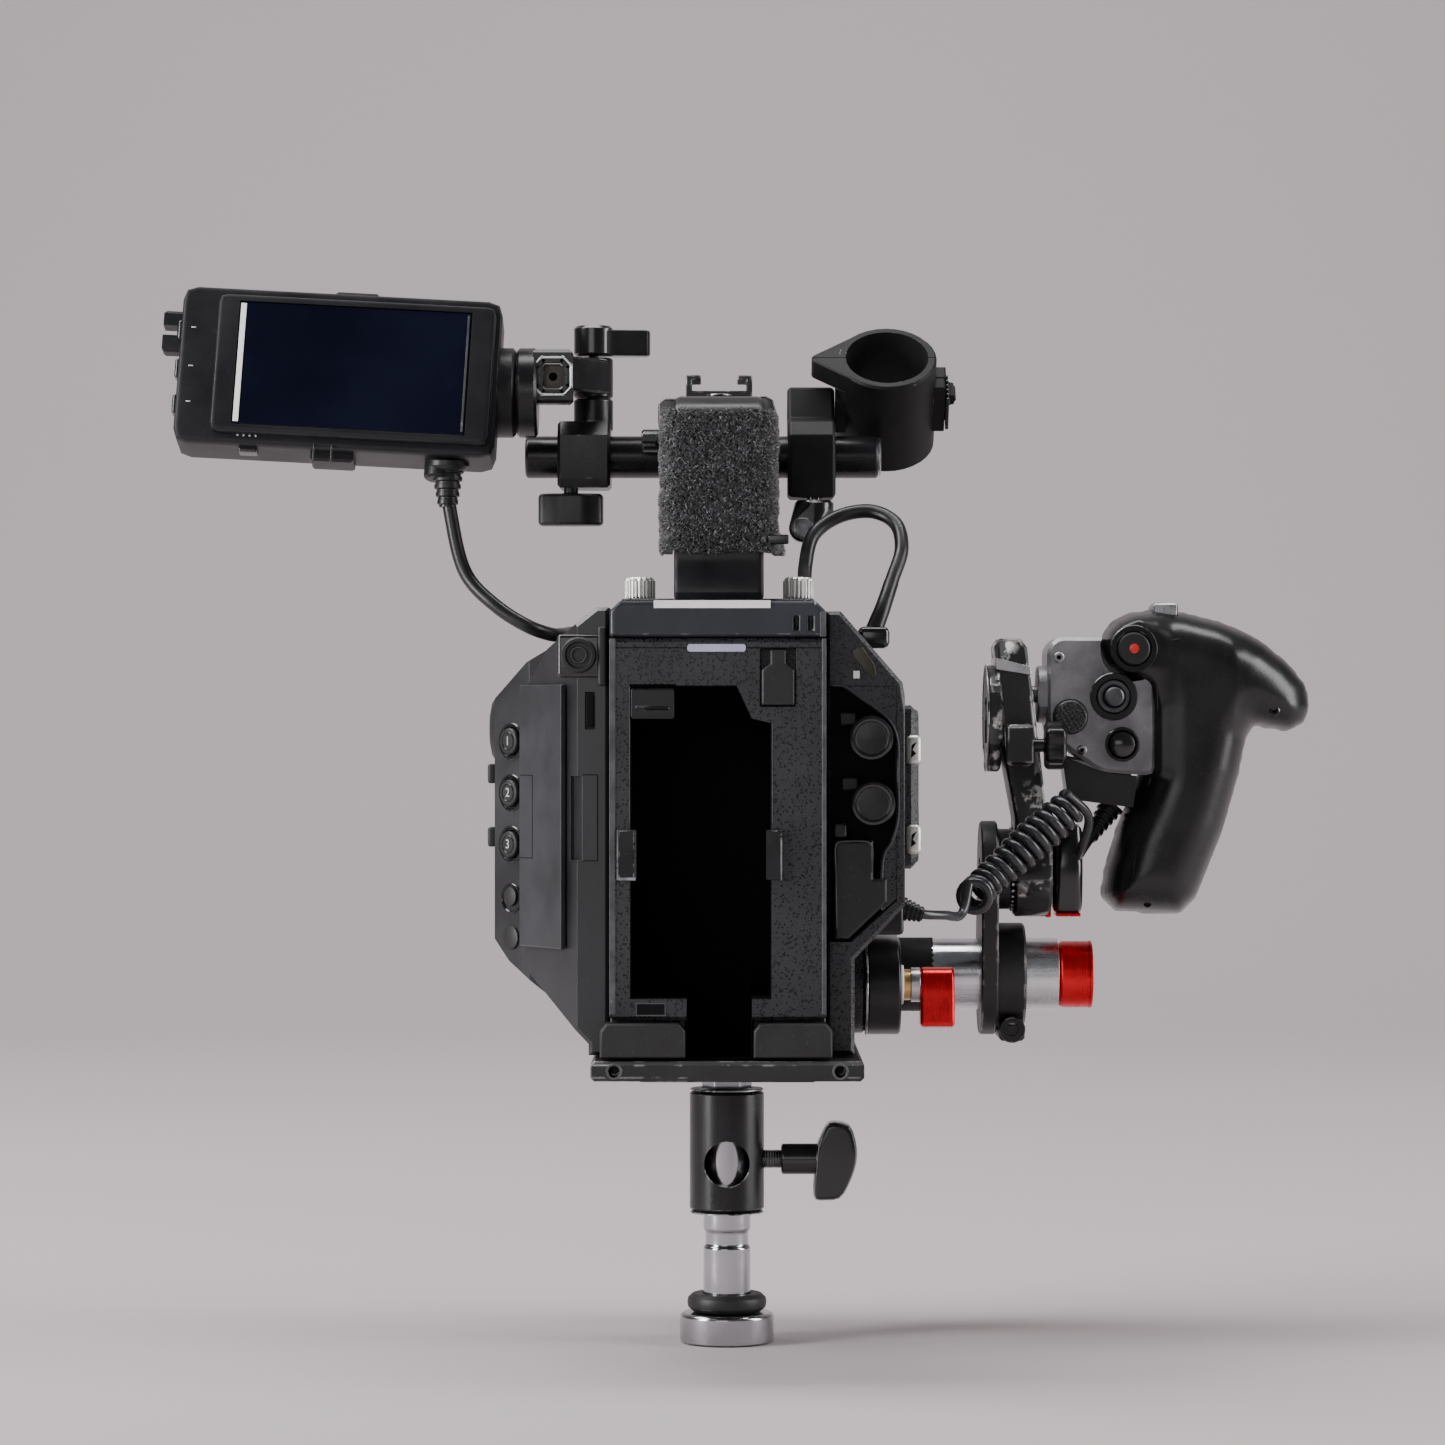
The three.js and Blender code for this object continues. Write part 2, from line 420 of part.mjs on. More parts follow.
// ---- side arm -----------------------------------------------------------
add("arm_flange", "black_metal",
  hull(rod("x", [ARM.y, ARM.z], ARM.r, 47.6, 59.4, 0.8), rod("x", [TUBE.y, TUBE.z], 15, 47.6, 59.4, 0.8))
    .subtract(rod("x", [TUBE.y, TUBE.z], TUBE.r + GAP, TUBE.from - GAP, 62))
    .subtract(rod("x", [ARM.y - 5, 120.5], 2.6, 52, 62, 0, 12)));
add("arm_tube", "aluminium", pipe("x", [TUBE.y, TUBE.z], TUBE.r, 10, TUBE.from, TUBE.to, 0.4, 36));
add("tube_cap", "red_anodised",
  rod("x", [TUBE.y, TUBE.z], 9.7, 106, 116.5, 0.6).add(rod("x", [TUBE.y, TUBE.z], 11.6, TUBE.to + 0.2, 127.3, 1)));
add("arm_lock_knob", "red_anodised",
  rod("x", [ARM.y - 5, 120.5], 2.3, 53, 68, 0, 12)
    .add(rod("x", [ARM.y - 5, 120.5], 5, 59.8, 61.4, 0.3, 16))
    .add(rod("x", [ARM.y - 5, 120.5], 4, 63, 66.5, 0.3, 16))
    .add(prism("x", [[2.6, 106.4], [11.4, 105.7], [14, 112], [16, 119], [14.6, 125], [9.6, 126.9], [5, 125],
      [3.4, 118]], 66, 77.7, { bevel: 0.8, round: 2 })));
add("tube_clamp", "black_metal",
  hull(rod("x", [TUBE.y, 121.6], 20.4, 88, 93.9, 0.6), rod("x", [ROSETTE.y, ROSETTE.z], 16.8, 88, 93.9, 0.6))
    .add(rod("x", [TUBE.y, TUBE.z], 18, 93, 103.9, 0.8))
    .add(block(94.5, 103.4, 33, 57, 99.6, 106, 1))
    .add(rod("x", [ROSETTE.y, ROSETTE.z], ROSETTE.r - 1, 93, 98.6, 0.6))
    .subtract(rod("x", [TUBE.y, TUBE.z], TUBE.r + GAP, 80, 110, 0, 36))
    .subtract(block(94.3, 106, 44.2, 45.8, 97, 112))
    .subtract(rod("x", [ROSETTE.y, ROSETTE.z], 4.4, 80, 102, 0, 16)));
add("swing_arm", "black_metal",
  rod("x", [ROSETTE.y, ROSETTE.z], 16.5, 99.4, 112.4, 1)
    .add(prism("y", [[99.6, 152], [112.2, 152], [111.6, 172], [103.8, 236], [101.6, 239.2], [94.4, 239.2],
      [92.6, 236.6], [95.4, 200], [99.6, 177]], 25, 51, { bevel: 1 }))
    .add(rod("x", [38, 211.6], 18.5, 90.2, 95, 0.8).intersect(block(80, 100, 22, 54, 180, 240)))
    .add(block(96.4, 105, 12, 27, 195.5, 209.5, 1))
    .subtract(block(89, 91.8, 32, 44, 203, 219))
    .subtract(rod("x", [ROSETTE.y, ROSETTE.z], 3.4, 96, 115, 0, 12))
    .subtract(rod("x", [HEAD.y, HEAD.z], 3.4, 100, 112, 0, 12))
    .subtract(rod("x", [19.5, 202.3], 2.6, 98, 108, 0, 12)));
const starArm = prism("x", [[-6, -16], [6, -16], [7.5, -9], [9, 0], [7.5, 9], [6, 16], [-6, 16], [-7.5, 9],
  [-9, 0], [-7.5, -9]], 113.2, 123.5, { bevel: 3, round: 5, steps: 3 });
add("swing_arm_knob", "black_plastic",
  starArm.translate([0, ROSETTE.y, ROSETTE.z]).add(rod("x", [ROSETTE.y, ROSETTE.z], 2.3, 94, 115, 0, 12)));
add("grip_knob", "black_plastic",
  rod("x", [19.5, 202.3], 2.3, 99, 110, 0, 12).add(wavy("x", [19.5, 202.3], 7.8, 0.9, 5, 109.3, 116.6, 1.6)));

// ---- hand grip ----------------------------------------------------------
add("grip_head", "satin_grey",
  prism("y", [[111.2, 236], [114.4, 239.8], [148.5, 239.8], [148.5, 191.8], [130, 193], [121, 199],
    [111.2, 207]], HEAD.face, 62, { bevel: 1.2, round: 3 })
    .add(prism("y", [[117, 199], [141, 194], [139, 181], [119, 184]], 36, 60, { bevel: 1 }))
    .add(rod("x", [HEAD.y, HEAD.z], 10, 108, 113, 0.6).intersect(block(100, 120, 33, 60, 200, 240)))
    .add(rod("x", [HEAD.y, HEAD.z], 3, 101, 110, 0, 12))
    .subtract(rod("y", RECORD, 11.4, 20, 50.5))
    .subtract(rod("y", STICK, 6.2, 20, 38, 0, 18))
    .subtract(rod("y", RELEASE, 6.2, 20, 38, 0, 18))
    .subtract(rod("y", MENU, 5, 20, 38, 0, 18)));
const palm = [[149.2, 236], [150, 247], [160, 248.6], [173, 245], [182, 241.6], [188, 238], [196.6, 231], [203.5, 222],
  [204.5, 213], [199, 208.2], [188, 208.4], [183, 207], [180, 195], [176.6, 182], [170.5, 164], [163, 147.5],
  [157, 143.6], [136, 145], [131.8, 150], [133, 162], [139.4, 178], [149.2, 189.6]];
add("grip_body", "rubber",
  prism("y", palm, 30, 72, { bevel: 4, round: 5, steps: 3 })
    .add(rod("y", RECORD, 11, 27.6, 50, 1.4))
    .add(block(140, 155, 34, 50, 240.2, 246, 1))
    .subtract(rod("y", RECORD, 6.1, 20, 32, 0, 18))
    .subtract(rod("z", [146.5, 50], 1.8, 140, 152, 0, 12))
    .subtract(block(148, 158.4, 38, 62, 246.6, 260)));
add("rec_button", "rubber", rod("y", RECORD, 5.7, 27, 30.4, 0.6, 18));
add("joystick", "rubber",
  rod("y", STICK, 5.8, 32.6, 36, 0.6, 18).add(rod("y", STICK, 3.4, 27.4, 34, 0.8, 20)));
add("release_button", "black_plastic", rod("y", RELEASE, 5.9, 29.6, 36.2, 0.8, 18));
add("menu_button", "black_plastic", rod("y", MENU, 4.7, 31, 36.4, 0.6, 18));
add("grip_lever", "steel", block(148.7, 157.7, 42, 58, 246.9, 252, 1));

// ---- cords --------------------------------------------------------------
add("handle_cable", "rubber", cord([[26, 12, 250], [26.6, 12.2, 254], [27, 18, 264], [30, 24, 275],
  [39, 28, 281.6], [50, 27, 283.2], [58, 22, 279], [60, 15, 270], [56.5, 8, 259], [53, 2, 249], [50, 0, 241],
  [49.4, 0, 236]], 2.5, 8, 34));
const lead = cord([[58.6, -30, 148], [64, -30, 146.2], [75, -22, 146], [84, -8, 147.6], [88, 0, 153]], 1.6, 8, 20);
const coil = cord([[87, 0, 154], [99, 2, 164], [110, 5, 174], [117, 9, 180]], 7, 10, 12);
const tail = cord([[117, 9, 180], [122.5, 14, 176], [124.5, 22, 168], [128, 32, 167], [130.5, 42, 173],
  [130.5, 46, 180.2]], 1.6, 8, 20);
add("grip_cord", "rubber", lead.add(coil).add(tail));

export default group;
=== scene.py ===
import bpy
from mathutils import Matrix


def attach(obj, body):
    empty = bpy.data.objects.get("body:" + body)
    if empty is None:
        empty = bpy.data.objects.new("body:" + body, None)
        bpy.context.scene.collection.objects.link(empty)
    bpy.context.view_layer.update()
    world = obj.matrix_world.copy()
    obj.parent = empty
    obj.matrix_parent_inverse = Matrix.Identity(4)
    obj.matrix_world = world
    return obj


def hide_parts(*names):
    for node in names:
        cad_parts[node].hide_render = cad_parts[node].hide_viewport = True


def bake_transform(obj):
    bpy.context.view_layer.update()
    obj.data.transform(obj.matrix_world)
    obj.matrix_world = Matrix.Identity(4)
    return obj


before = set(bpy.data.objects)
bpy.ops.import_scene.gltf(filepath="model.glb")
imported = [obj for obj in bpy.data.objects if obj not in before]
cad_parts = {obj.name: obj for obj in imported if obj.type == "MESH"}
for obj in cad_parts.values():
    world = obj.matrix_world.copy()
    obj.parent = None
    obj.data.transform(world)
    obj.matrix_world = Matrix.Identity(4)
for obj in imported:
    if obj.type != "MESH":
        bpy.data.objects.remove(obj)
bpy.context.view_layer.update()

import math
import random

import bmesh
import bpy
from mathutils import Matrix, Vector

MM = 0.001
RNG = random.Random(4)
REAR = -100.0  # rear face of the camera, in mm, as in the CAD
REST = {}  # material by name


# ---- materials ------------------------------------------------------------
def surface(name, color, rough, metal=0.0, cloud=(60, 0.25), grain=(1400, 0.2), drops=None, wear=None,
            brush=None, edge=None, coat=0.0, sheen=0.0, dust=0.0, spec=0.5):
    """A procedural finish: cloudy colour and roughness, fine relief, optional drops, wear and brushing."""
    m = bpy.data.materials.new(name)
    m.use_nodes = True
    nodes, links = m.node_tree.nodes, m.node_tree.links
    out = nodes["Principled BSDF"]

    def new(kind, **values):
        n = nodes.new("ShaderNode" + kind)
        for key, value in values.items():
            if key in n.inputs.keys():
                n.inputs[key].default_value = value
            else:
                setattr(n, key, value)
        return n

    def mix(fac, a, b):
        n = new("Mix", data_type="RGBA")
        for socket, value in ((n.inputs[0], fac), (n.inputs[6], a), (n.inputs[7], b)):
            if isinstance(value, bpy.types.NodeSocket):
                links.new(value, socket)
            else:
                socket.default_value = value
        return n.outputs[2]

    def maths(operation, a, b=0.0):
        n = new("Math", operation=operation)
        for socket, value in zip(n.inputs, (a, b)):
            if isinstance(value, bpy.types.NodeSocket):
                links.new(value, socket)
            else:
                socket.default_value = value
        return n.outputs[0]

    def spread(value, low, high, to_low, to_high):
        n = new("MapRange")
        links.new(value, n.inputs[0])
        for i, v in enumerate((low, high, to_low, to_high)):
            n.inputs[i + 1].default_value = v
        return n.outputs[0]

    place = new("TexCoord").outputs["Object"]

    def noise(scale, detail=3.0, stretch=None):
        n = new("TexNoise", Scale=scale, Detail=detail, Roughness=0.6)
        source = place
        if stretch:
            turn = new("Mapping")
            links.new(place, turn.inputs[0])
            turn.inputs[3].default_value = stretch
            source = turn.outputs[0]
        links.new(source, n.inputs["Vector"])
        return n.outputs[0]

    light = [min(1.0, c * (1 + cloud[1]) + 0.006 * cloud[1]) for c in color] + [1.0]
    dark = [c * (1 - cloud[1]) for c in color] + [1.0]
    patches = noise(cloud[0], 5.0)
    shade = mix(spread(patches, 0.35, 0.65, 0, 1), dark, light)
    roughness = spread(patches, 0.3, 0.7, max(0.02, rough - 0.07), min(1.0, rough + 0.07))
    metallic = metal
    height = noise(grain[0], 2.0)
    relief = [(height, grain[1], 0.00012)]
    if dust:
        specks = spread(noise(cloud[0] * 14, 2.0), 0.66, 0.74, 0, dust)
        shade = mix(specks, shade, [0.32, 0.31, 0.3, 1.0])
    if drops:
        scale, amount = drops
        cells = new("TexVoronoi", Scale=scale, Randomness=1.0)
        links.new(place, cells.inputs["Vector"])
        round_drops = spread(cells.outputs["Distance"], 0.5, 0.34, 0, 1)
        some = spread(noise(scale * 0.6, 1.0), 0.44, 0.5, 0, 1)
        drop = maths("MULTIPLY", round_drops, some)
        relief.append((drop, amount, 0.0005))
        shade = mix(drop, shade, [c * 0.12 for c in color] + [1.0])
        roughness = maths("SUBTRACT", roughness, maths("MULTIPLY", drop, 0.2))
    if brush:
        lines = noise(1.0, 3.0, brush)
        relief.append((lines, 0.1, 0.0001))
        roughness = maths("ADD", roughness, spread(lines, 0.3, 0.7, -0.06, 0.08))
    if wear:
        scale, low, tint = wear
        bare = spread(noise(scale, 9.0), low, low + 0.05, 0, 1)
        shade = mix(bare, shade, [*tint, 1.0])
        roughness = maths("SUBTRACT", roughness, maths("MULTIPLY", bare, 0.12))
        metallic = maths("MAXIMUM", metal, maths("MULTIPLY", bare, 0.85))
    if edge:
        width, keep = edge
        soft = new("Bevel", samples=6)
        soft.inputs["Radius"].default_value = width * MM
        turned = new("VectorMath", operation="DOT_PRODUCT")
        links.new(soft.outputs[0], turned.inputs[0])
        links.new(new("NewGeometry").outputs["True Normal"], turned.inputs[1])
        rubbed = maths("MULTIPLY", spread(turned.outputs["Value"], 0.985, 0.93, 0, 1),
                       spread(noise(130, 10.0), keep, keep + 0.05, 0, 1))
        shade = mix(rubbed, shade, [0.5, 0.49, 0.47, 1.0])
        metallic = maths("MAXIMUM", metallic, maths("MULTIPLY", rubbed, 0.9))
    normal = None
    for value, amount, distance in relief:
        bump = new("Bump", Strength=amount, Distance=distance)
        links.new(value, bump.inputs["Height"])
        if normal:
            links.new(normal, bump.inputs["Normal"])
        normal = bump.outputs[0]
    links.new(normal, out.inputs["Normal"])
    links.new(shade, out.inputs["Base Color"])
    links.new(roughness, out.inputs["Roughness"])
    if isinstance(metallic, float):
        out.inputs["Metallic"].default_value = metallic
    else:
        links.new(metallic, out.inputs["Metallic"])
    out.inputs["Coat Weight"].default_value = coat
    out.inputs["Coat Roughness"].default_value = 0.15
    out.inputs["Sheen Weight"].default_value = sheen
    out.inputs["Specular IOR Level"].default_value = spec
    REST[name] = m
    return m


SILVER = (0.55, 0.54, 0.52)
surface("black_paint", (0.019, 0.020, 0.024), 0.42, drops=(1050, 0.25), cloud=(35, 0.25))
surface("shell_paint", (0.011, 0.0115, 0.0135), 0.37, grain=(1900, 0.35), cloud=(30, 0.3), dust=0.03,
        spec=0.75)
# satin grey; also used for a painted highlight round the side recess
surface("satin_grey", (0.027, 0.029, 0.033), 0.36, grain=(1700, 0.3), cloud=(40, 0.25), dust=0.03)
surface("cap_paint", (0.017, 0.019, 0.026), 0.38, grain=(1500, 0.3), cloud=(25, 0.3), edge=(0.6, 0.55))
surface("head_paint", (0.23, 0.23, 0.24), 0.38, 0.5, grain=(1500, 0.7), cloud=(55, 0.35), dust=0.12)
# near black: dark joints and holes, and painted shade lining the battery bay and the side recess
surface("black_and_painted_shade", (0.0015, 0.0015, 0.0017), 0.7, grain=(1200, 0.3), cloud=(40, 0.5), spec=0.15)
surface("black_metal", (0.008, 0.008, 0.0095), 0.3, 0.2, grain=(2200, 0.25), cloud=(50, 0.3),
        edge=(0.5, 0.55))
surface("scuffed_metal", (0.017, 0.017, 0.0185), 0.42, 0.2, cloud=(50, 0.3), grain=(1500, 0.4),
        wear=(75, 0.72, SILVER), edge=(1.0, 0.5))
surface("mic_black", (0.006, 0.006, 0.007), 0.5, grain=(1600, 0.4), cloud=(45, 0.3), edge=(0.4, 0.6),
        spec=0.22)
surface("black_plastic", (0.008, 0.008, 0.0095), 0.34, grain=(1500, 0.3), cloud=(45, 0.3), dust=0.04)
surface("gloss_plastic", (0.007, 0.007, 0.008), 0.22, grain=(900, 0.12), cloud=(45, 0.3), coat=0.4,
        dust=0.02)
surface("case_plastic", (0.0085, 0.0085, 0.0105), 0.4, grain=(1700, 0.4), cloud=(30, 0.25), dust=0.03,
        spec=0.32)
surface("rubber", (0.0085, 0.0085, 0.009), 0.5, grain=(1300, 0.35), cloud=(60, 0.35), dust=0.08)
surface("cable", (0.010, 0.010, 0.011), 0.36, grain=(1000, 0.2), cloud=(90, 0.3), dust=0.04)
surface("coil_jacket", (0.032, 0.033, 0.036), 0.24, grain=(1200, 0.15), cloud=(120, 0.25), dust=0.04)
surface("grip_rubber", (0.0085, 0.0085, 0.0095), 0.27, grain=(1100, 0.2), cloud=(35, 0.3), dust=0.03)
surface("chrome", (0.46, 0.46, 0.48), 0.15, 1.0, grain=(900, 0.04), cloud=(80, 0.08))
surface("knurled", (0.78, 0.77, 0.73), 0.42, 0.8, grain=(900, 0.3), cloud=(220, 0.12))
surface("bright_steel", (0.74, 0.75, 0.77), 0.27, 1.0, brush=(10, 500, 500), cloud=(60, 0.08))
surface("steel", (0.5, 0.5, 0.51), 0.3, 1.0, brush=(600, 600, 30), cloud=(90, 0.15))
surface("worn_steel", (0.3, 0.3, 0.31), 0.36, 1.0, cloud=(140, 0.45), grain=(900, 0.4),
        wear=(160, 0.55, (0.05, 0.05, 0.05)))
surface("zinc", (0.42, 0.44, 0.46), 0.4, 0.9, cloud=(70, 0.3), grain=(900, 0.3))
surface("aluminium", (0.62, 0.63, 0.66), 0.22, 1.0, brush=(12, 900, 900), cloud=(70, 0.12))
surface("red_anodised", (0.68, 0.01, 0.018), 0.26, 0.7, brush=(700, 10, 10), cloud=(50, 0.2))
surface("brass", (0.6, 0.4, 0.16), 0.32, 1.0, brush=(10, 700, 700), cloud=(90, 0.2))
surface("glass", (0.002, 0.0028, 0.012), 0.08, grain=(300, 0.01), cloud=(12, 0.3), spec=0.35)
surface("fabric", (0.006, 0.006, 0.0065), 0.95, grain=(900, 0.9), cloud=(350, 0.5), sheen=0.2)
surface("loops", (0.04, 0.04, 0.043), 0.5, grain=(2500, 0.3), cloud=(900, 1.0), sheen=0.3)
surface("loop_tips", (0.22, 0.22, 0.23), 0.45, grain=(2500, 0.3), cloud=(700, 0.9))
# white; also used for a painted highlight strip on the monitor
surface("label", (0.93, 0.93, 0.91), 0.6, grain=(1200, 0.2), cloud=(150, 0.04))
surface("tally", (0.42, 0.42, 0.6), 0.3, grain=(600, 0.05), cloud=(90, 0.1), coat=0.4)
surface("olive", (0.022, 0.02, 0.006), 0.16, grain=(700, 0.05), cloud=(120, 0.3), coat=0.5)
# grey with rubbed silver patches; also used for strips that are painted highlights along edges
surface("grey_and_painted_highlight", (0.075, 0.076, 0.082), 0.35, 0.3, grain=(900, 0.3), cloud=(150, 0.3),
        wear=(200, 0.68, SILVER))
surface("tape", (0.009, 0.009, 0.01), 0.7, grain=(500, 0.8), cloud=(200, 0.3))
surface("ink", (0.55, 0.55, 0.55), 0.6, grain=(1400, 0.2), cloud=(400, 0.2))
surface("warm_grey", (0.2, 0.16, 0.13), 0.5, grain=(900, 0.2), cloud=(200, 0.3))
surface("red_dot", (0.75, 0.03, 0.02), 0.3, grain=(900, 0.1), cloud=(300, 0.15), coat=0.3)


# ---- building blocks --------------------------------------------------------
def finish_mesh(o, material, body=None, bevel=0.0, segments=2, sharp=32, slot=None):
    o.data.materials.clear()
    o.data.materials.append(REST[material])
    o.data.polygons.foreach_set("use_smooth", [True] * len(o.data.polygons))
    if bevel:
        b = o.modifiers.new("edge", "BEVEL")
        b.limit_method, b.angle_limit, b.width, b.segments = "ANGLE", math.radians(30), bevel * MM, segments
        o.modifiers.new("normals", "WEIGHTED_NORMAL").keep_sharp = True
    else:
        o.data.set_sharp_from_angle(angle=math.radians(sharp))
    if body:
        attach(o, body)
    return o


def shape(name, points, faces, material, body=None, **looks):
    mesh = bpy.data.meshes.new(name)
    mesh.from_pydata([[c * MM for c in p] for p in points], [], faces)
    mesh.validate()
    o = bpy.data.objects.new(name, mesh)
    bpy.context.scene.collection.objects.link(o)
    return finish_mesh(o, material, body, **looks)


def block(name, body, material, x, y, z, bevel=0.4, turn=None, **looks):
    points = [(a, b, c) for a in x for b in y for c in z]
    faces = [(0, 1, 3, 2), (4, 6, 7, 5), (0, 4, 5, 1), (2, 3, 7, 6), (0, 2, 6, 4), (1, 5, 7, 3)]
    if turn:
        points = [tuple(turn @ Vector(p)) for p in points]
    return shape(name, points, faces, material, body, bevel=bevel, **looks)


def axes(direction):
    w = Vector(direction).normalized()
    u = Vector((0, 0, 1)).cross(w) if abs(w.z) < 0.95 else Vector((1, 0, 0))
    u.normalize()
    return u, w.cross(u), w


def lathe(name, body, material, centre, direction, profile, sides=48, **looks):
    """A turned piece. The profile is (radius, distance along the direction)."""
    u, v, w = axes(direction)
    c = Vector(centre)
    points, faces, rows = [], [], len(profile)
    for i in range(sides):
        t = 2 * math.pi * i / sides
        for r, h in profile:
            points.append(tuple(c + w * h + (u * math.cos(t) + v * math.sin(t)) * r))
    for i in range(sides):
        a, b = i * rows, (i + 1) % sides * rows
        faces += [(a + k, b + k, b + k + 1, a + k + 1) for k in range(rows - 1)]
    faces.append([i * rows for i in range(sides)][::-1])
    faces.append([i * rows + rows - 1 for i in range(sides)])
    return shape(name, points, faces, material, body, **looks)


def disc(name, body, material, centre, direction, r, thick, edge=0.4, **looks):
    profile = [(r, 0), (r, thick - edge), (r - edge * 0.3, thick - edge * 0.3), (r - edge, thick)]
    return lathe(name, body, material, centre, direction, profile, **looks)


def ring(name, body, material, centre, direction, outer, inner, thick, **looks):
    u, v, w = axes(direction)
    c, points, faces, sides = Vector(centre), [], [], looks.pop("sides", 48)
    e = min(0.3, thick / 3, (outer - inner) / 3)
    profile = [(inner, 0), (outer, 0), (outer, thick - e), (outer - e, thick), (inner + e, thick),
               (inner, thick - e)]
    for i in range(sides):
        t = 2 * math.pi * i / sides
        points += [tuple(c + w * h + (u * math.cos(t) + v * math.sin(t)) * r) for r, h in profile]
    n = len(profile)
    for i in range(sides):
        a, b = i * n, (i + 1) % sides * n
        faces += [(a + k, b + k, b + (k + 1) % n, a + (k + 1) % n) for k in range(n)]
    return shape(name, points, faces, material, body, **looks)


def smooth_path(points, step=1.2):
    """Points about step mm apart on a centripetal Catmull-Rom curve through the given ones."""
    p = [Vector(q) for q in points]
    p = [p[0] * 2 - p[1], *p, p[-1] * 2 - p[-2]]
    line = []
    for a, b, c, d in zip(p, p[1:], p[2:], p[3:]):
        t = [0.0]
        for q, r in ((a, b), (b, c), (c, d)):
            t.append(t[-1] + max((r - q).length, 1e-6) ** 0.5)
        n = max(2, round((c - b).length / step))
        for k in range(n):
            s = t[1] + (t[2] - t[1]) * k / n
            a1 = a.lerp(b, (s - t[0]) / (t[1] - t[0]))
            a2 = b.lerp(c, (s - t[1]) / (t[2] - t[1]))
            a3 = c.lerp(d, (s - t[2]) / (t[3] - t[2]))
            b1 = a1.lerp(a2, (s - t[0]) / (t[2] - t[0]))
            b2 = a2.lerp(a3, (s - t[1]) / (t[3] - t[1]))
            line.append(b1.lerp(b2, (s - t[1]) / (t[2] - t[1])))
    return line + [p[-2]]


def tube(name, line, r, material="cable", sides=14, up=None):
    """A round cord along a line of points. Rings turn as little as they can from one to the next."""
    points, faces, side = [], [], up
    for i, p in enumerate(line):
        w = (line[min(i + 1, len(line) - 1)] - line[max(i - 1, 0)]).normalized()
        if side is None:
            side = axes(w)[0]
        side = (side - w * side.dot(w)).normalized()
        other = w.cross(side)
        for k in range(sides):
            t = 2 * math.pi * k / sides
            radius = r(i) if callable(r) else r
            points.append(tuple(p + (side * math.cos(t) + other * math.sin(t)) * radius))
    for i in range(len(line) - 1):
        for k in range(sides):
            a, b = i * sides + k, i * sides + (k + 1) % sides
            faces.append((a, b, b + sides, a + sides))
    faces.append(list(range(sides))[::-1])
    faces.append(list(range(len(points) - sides, len(points))))
    return shape(name, points, faces, material, sharp=50)


# ---- CAD pieces that show, with their finish and edge radius ----------------------
LOOKS = {
    "chrome": ("stand_spigot", 0.5), "zinc": ("mount_nut", 0.5),
    "mic_black": ("mic_ring mic_ring_gate mic_clamp", 0.5),
    "rubber": ("spigot_ring foot_left foot_right dc_cover sdi_cap_upper sdi_cap_lower port_cover "
               "user_button_1 user_button_2 user_button_3 select_dial rec_button", 0.35),
    "scuffed_metal": ("base_plate swing_arm tube_clamp cold_shoe", 0.4), "worn_steel": ("grip_lever", 0.35),
    "black_metal": ("battery_release receiver_sleeve cross_rod rod_lock_lever monitor_clamp monitor_arm "
                    "arm_flange", 0.4),
    "gloss_plastic": ("swing_arm_knob sleeve_knob monitor_arm_knob mic_clamp_knob menu_button joystick",
                      0.7),
    "black_plastic": ("handle monitor_clamp_knob grip_knob", 0.5),
    "knurled": ("handle_screw_left handle_screw_right", 0.3),
    "black_paint": ("rear_panel right_housing", 0.6), "shell_paint": ("left_housing body_chassis", 0.9),
    "cap_paint": ("top_cap", 0.7), "satin_grey": ("media_door release_button", 0.3),
    "head_paint": ("grip_head", 0.8),
    "case_plastic": ("monitor_case", 0.8), "steel": ("lens_mount", 0.3),
    "aluminium": ("arm_tube", 0.3), "red_anodised": ("tube_cap arm_lock_knob", 0.5),
    "glass": ("monitor_screen sensor_glass", 0.15),
}
SHARP = {n: (material, edge) for material, (names, edge) in LOOKS.items() for n in names.split()}
for n, (material, edge) in SHARP.items():
    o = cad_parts[n]
    bpy.context.view_layer.objects.active = o
    if o.data.has_custom_normals:
        bpy.ops.mesh.customdata_custom_splitnormals_clear()
    o.data.materials.clear()
    o.data.materials.append(REST[material])
    o.data.polygons.foreach_set("use_smooth", [True] * len(o.data.polygons))
    o.modifiers.new("weld", "WELD").merge_threshold = 2e-5
    flat = o.modifiers.new("flat", "DECIMATE")
    flat.decimate_type, flat.angle_limit = "DISSOLVE", math.radians(1.5)
    b = o.modifiers.new("edge", "BEVEL")
    b.limit_method, b.angle_limit, b.width, b.segments = "ANGLE", math.radians(32), edge * MM, 3
    o.modifiers.new("normals", "WEIGHTED_NORMAL").keep_sharp = True


# ---- cords ------------------------------------------------------------------
def split(line, parts):
    cut = [round(i * (len(line) - 1) / parts) for i in range(parts + 1)]
    return [line[a:b + 1] for a, b in zip(cut, cut[1:])]


jack = (-98.0, 45.6, 295.0)
cable_line = smooth_path([jack, (-96.5, 44.5, 283), (-91, 43, 262), (-80, 38, 250.5), (-69, 36, 243.6),
                          (-61.5, 42, 241),
                          (-57, 54, 241.2), (-54.5, 68, 241.8), (-52.3, 81, 240.6), (-50.7, 86.5, 232.5),
                          (-50, 86.5, 222),
                          (-50, 81.6, 213)])
for i, part in enumerate(split(cable_line, 4)):
    o = tube(f"monitor_cable_{i + 1}", part, 2.45)
    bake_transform(o)
    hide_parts("monitor_cable")

loop_line = smooth_path([(26, 12, 250), (26.6, 12.2, 254), (27, 18, 264), (30, 24, 275), (39, 28, 281.6),
                         (50, 27, 283.2),
                         (58, 22, 279), (60, 15, 270), (56.5, 8, 259), (53, 2, 249), (50, 0, 241),
                         (49.4, 0, 236)])
o = tube("handle_cable_loop", loop_line, 2.45)
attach(o, "camera")
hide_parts("handle_cable")

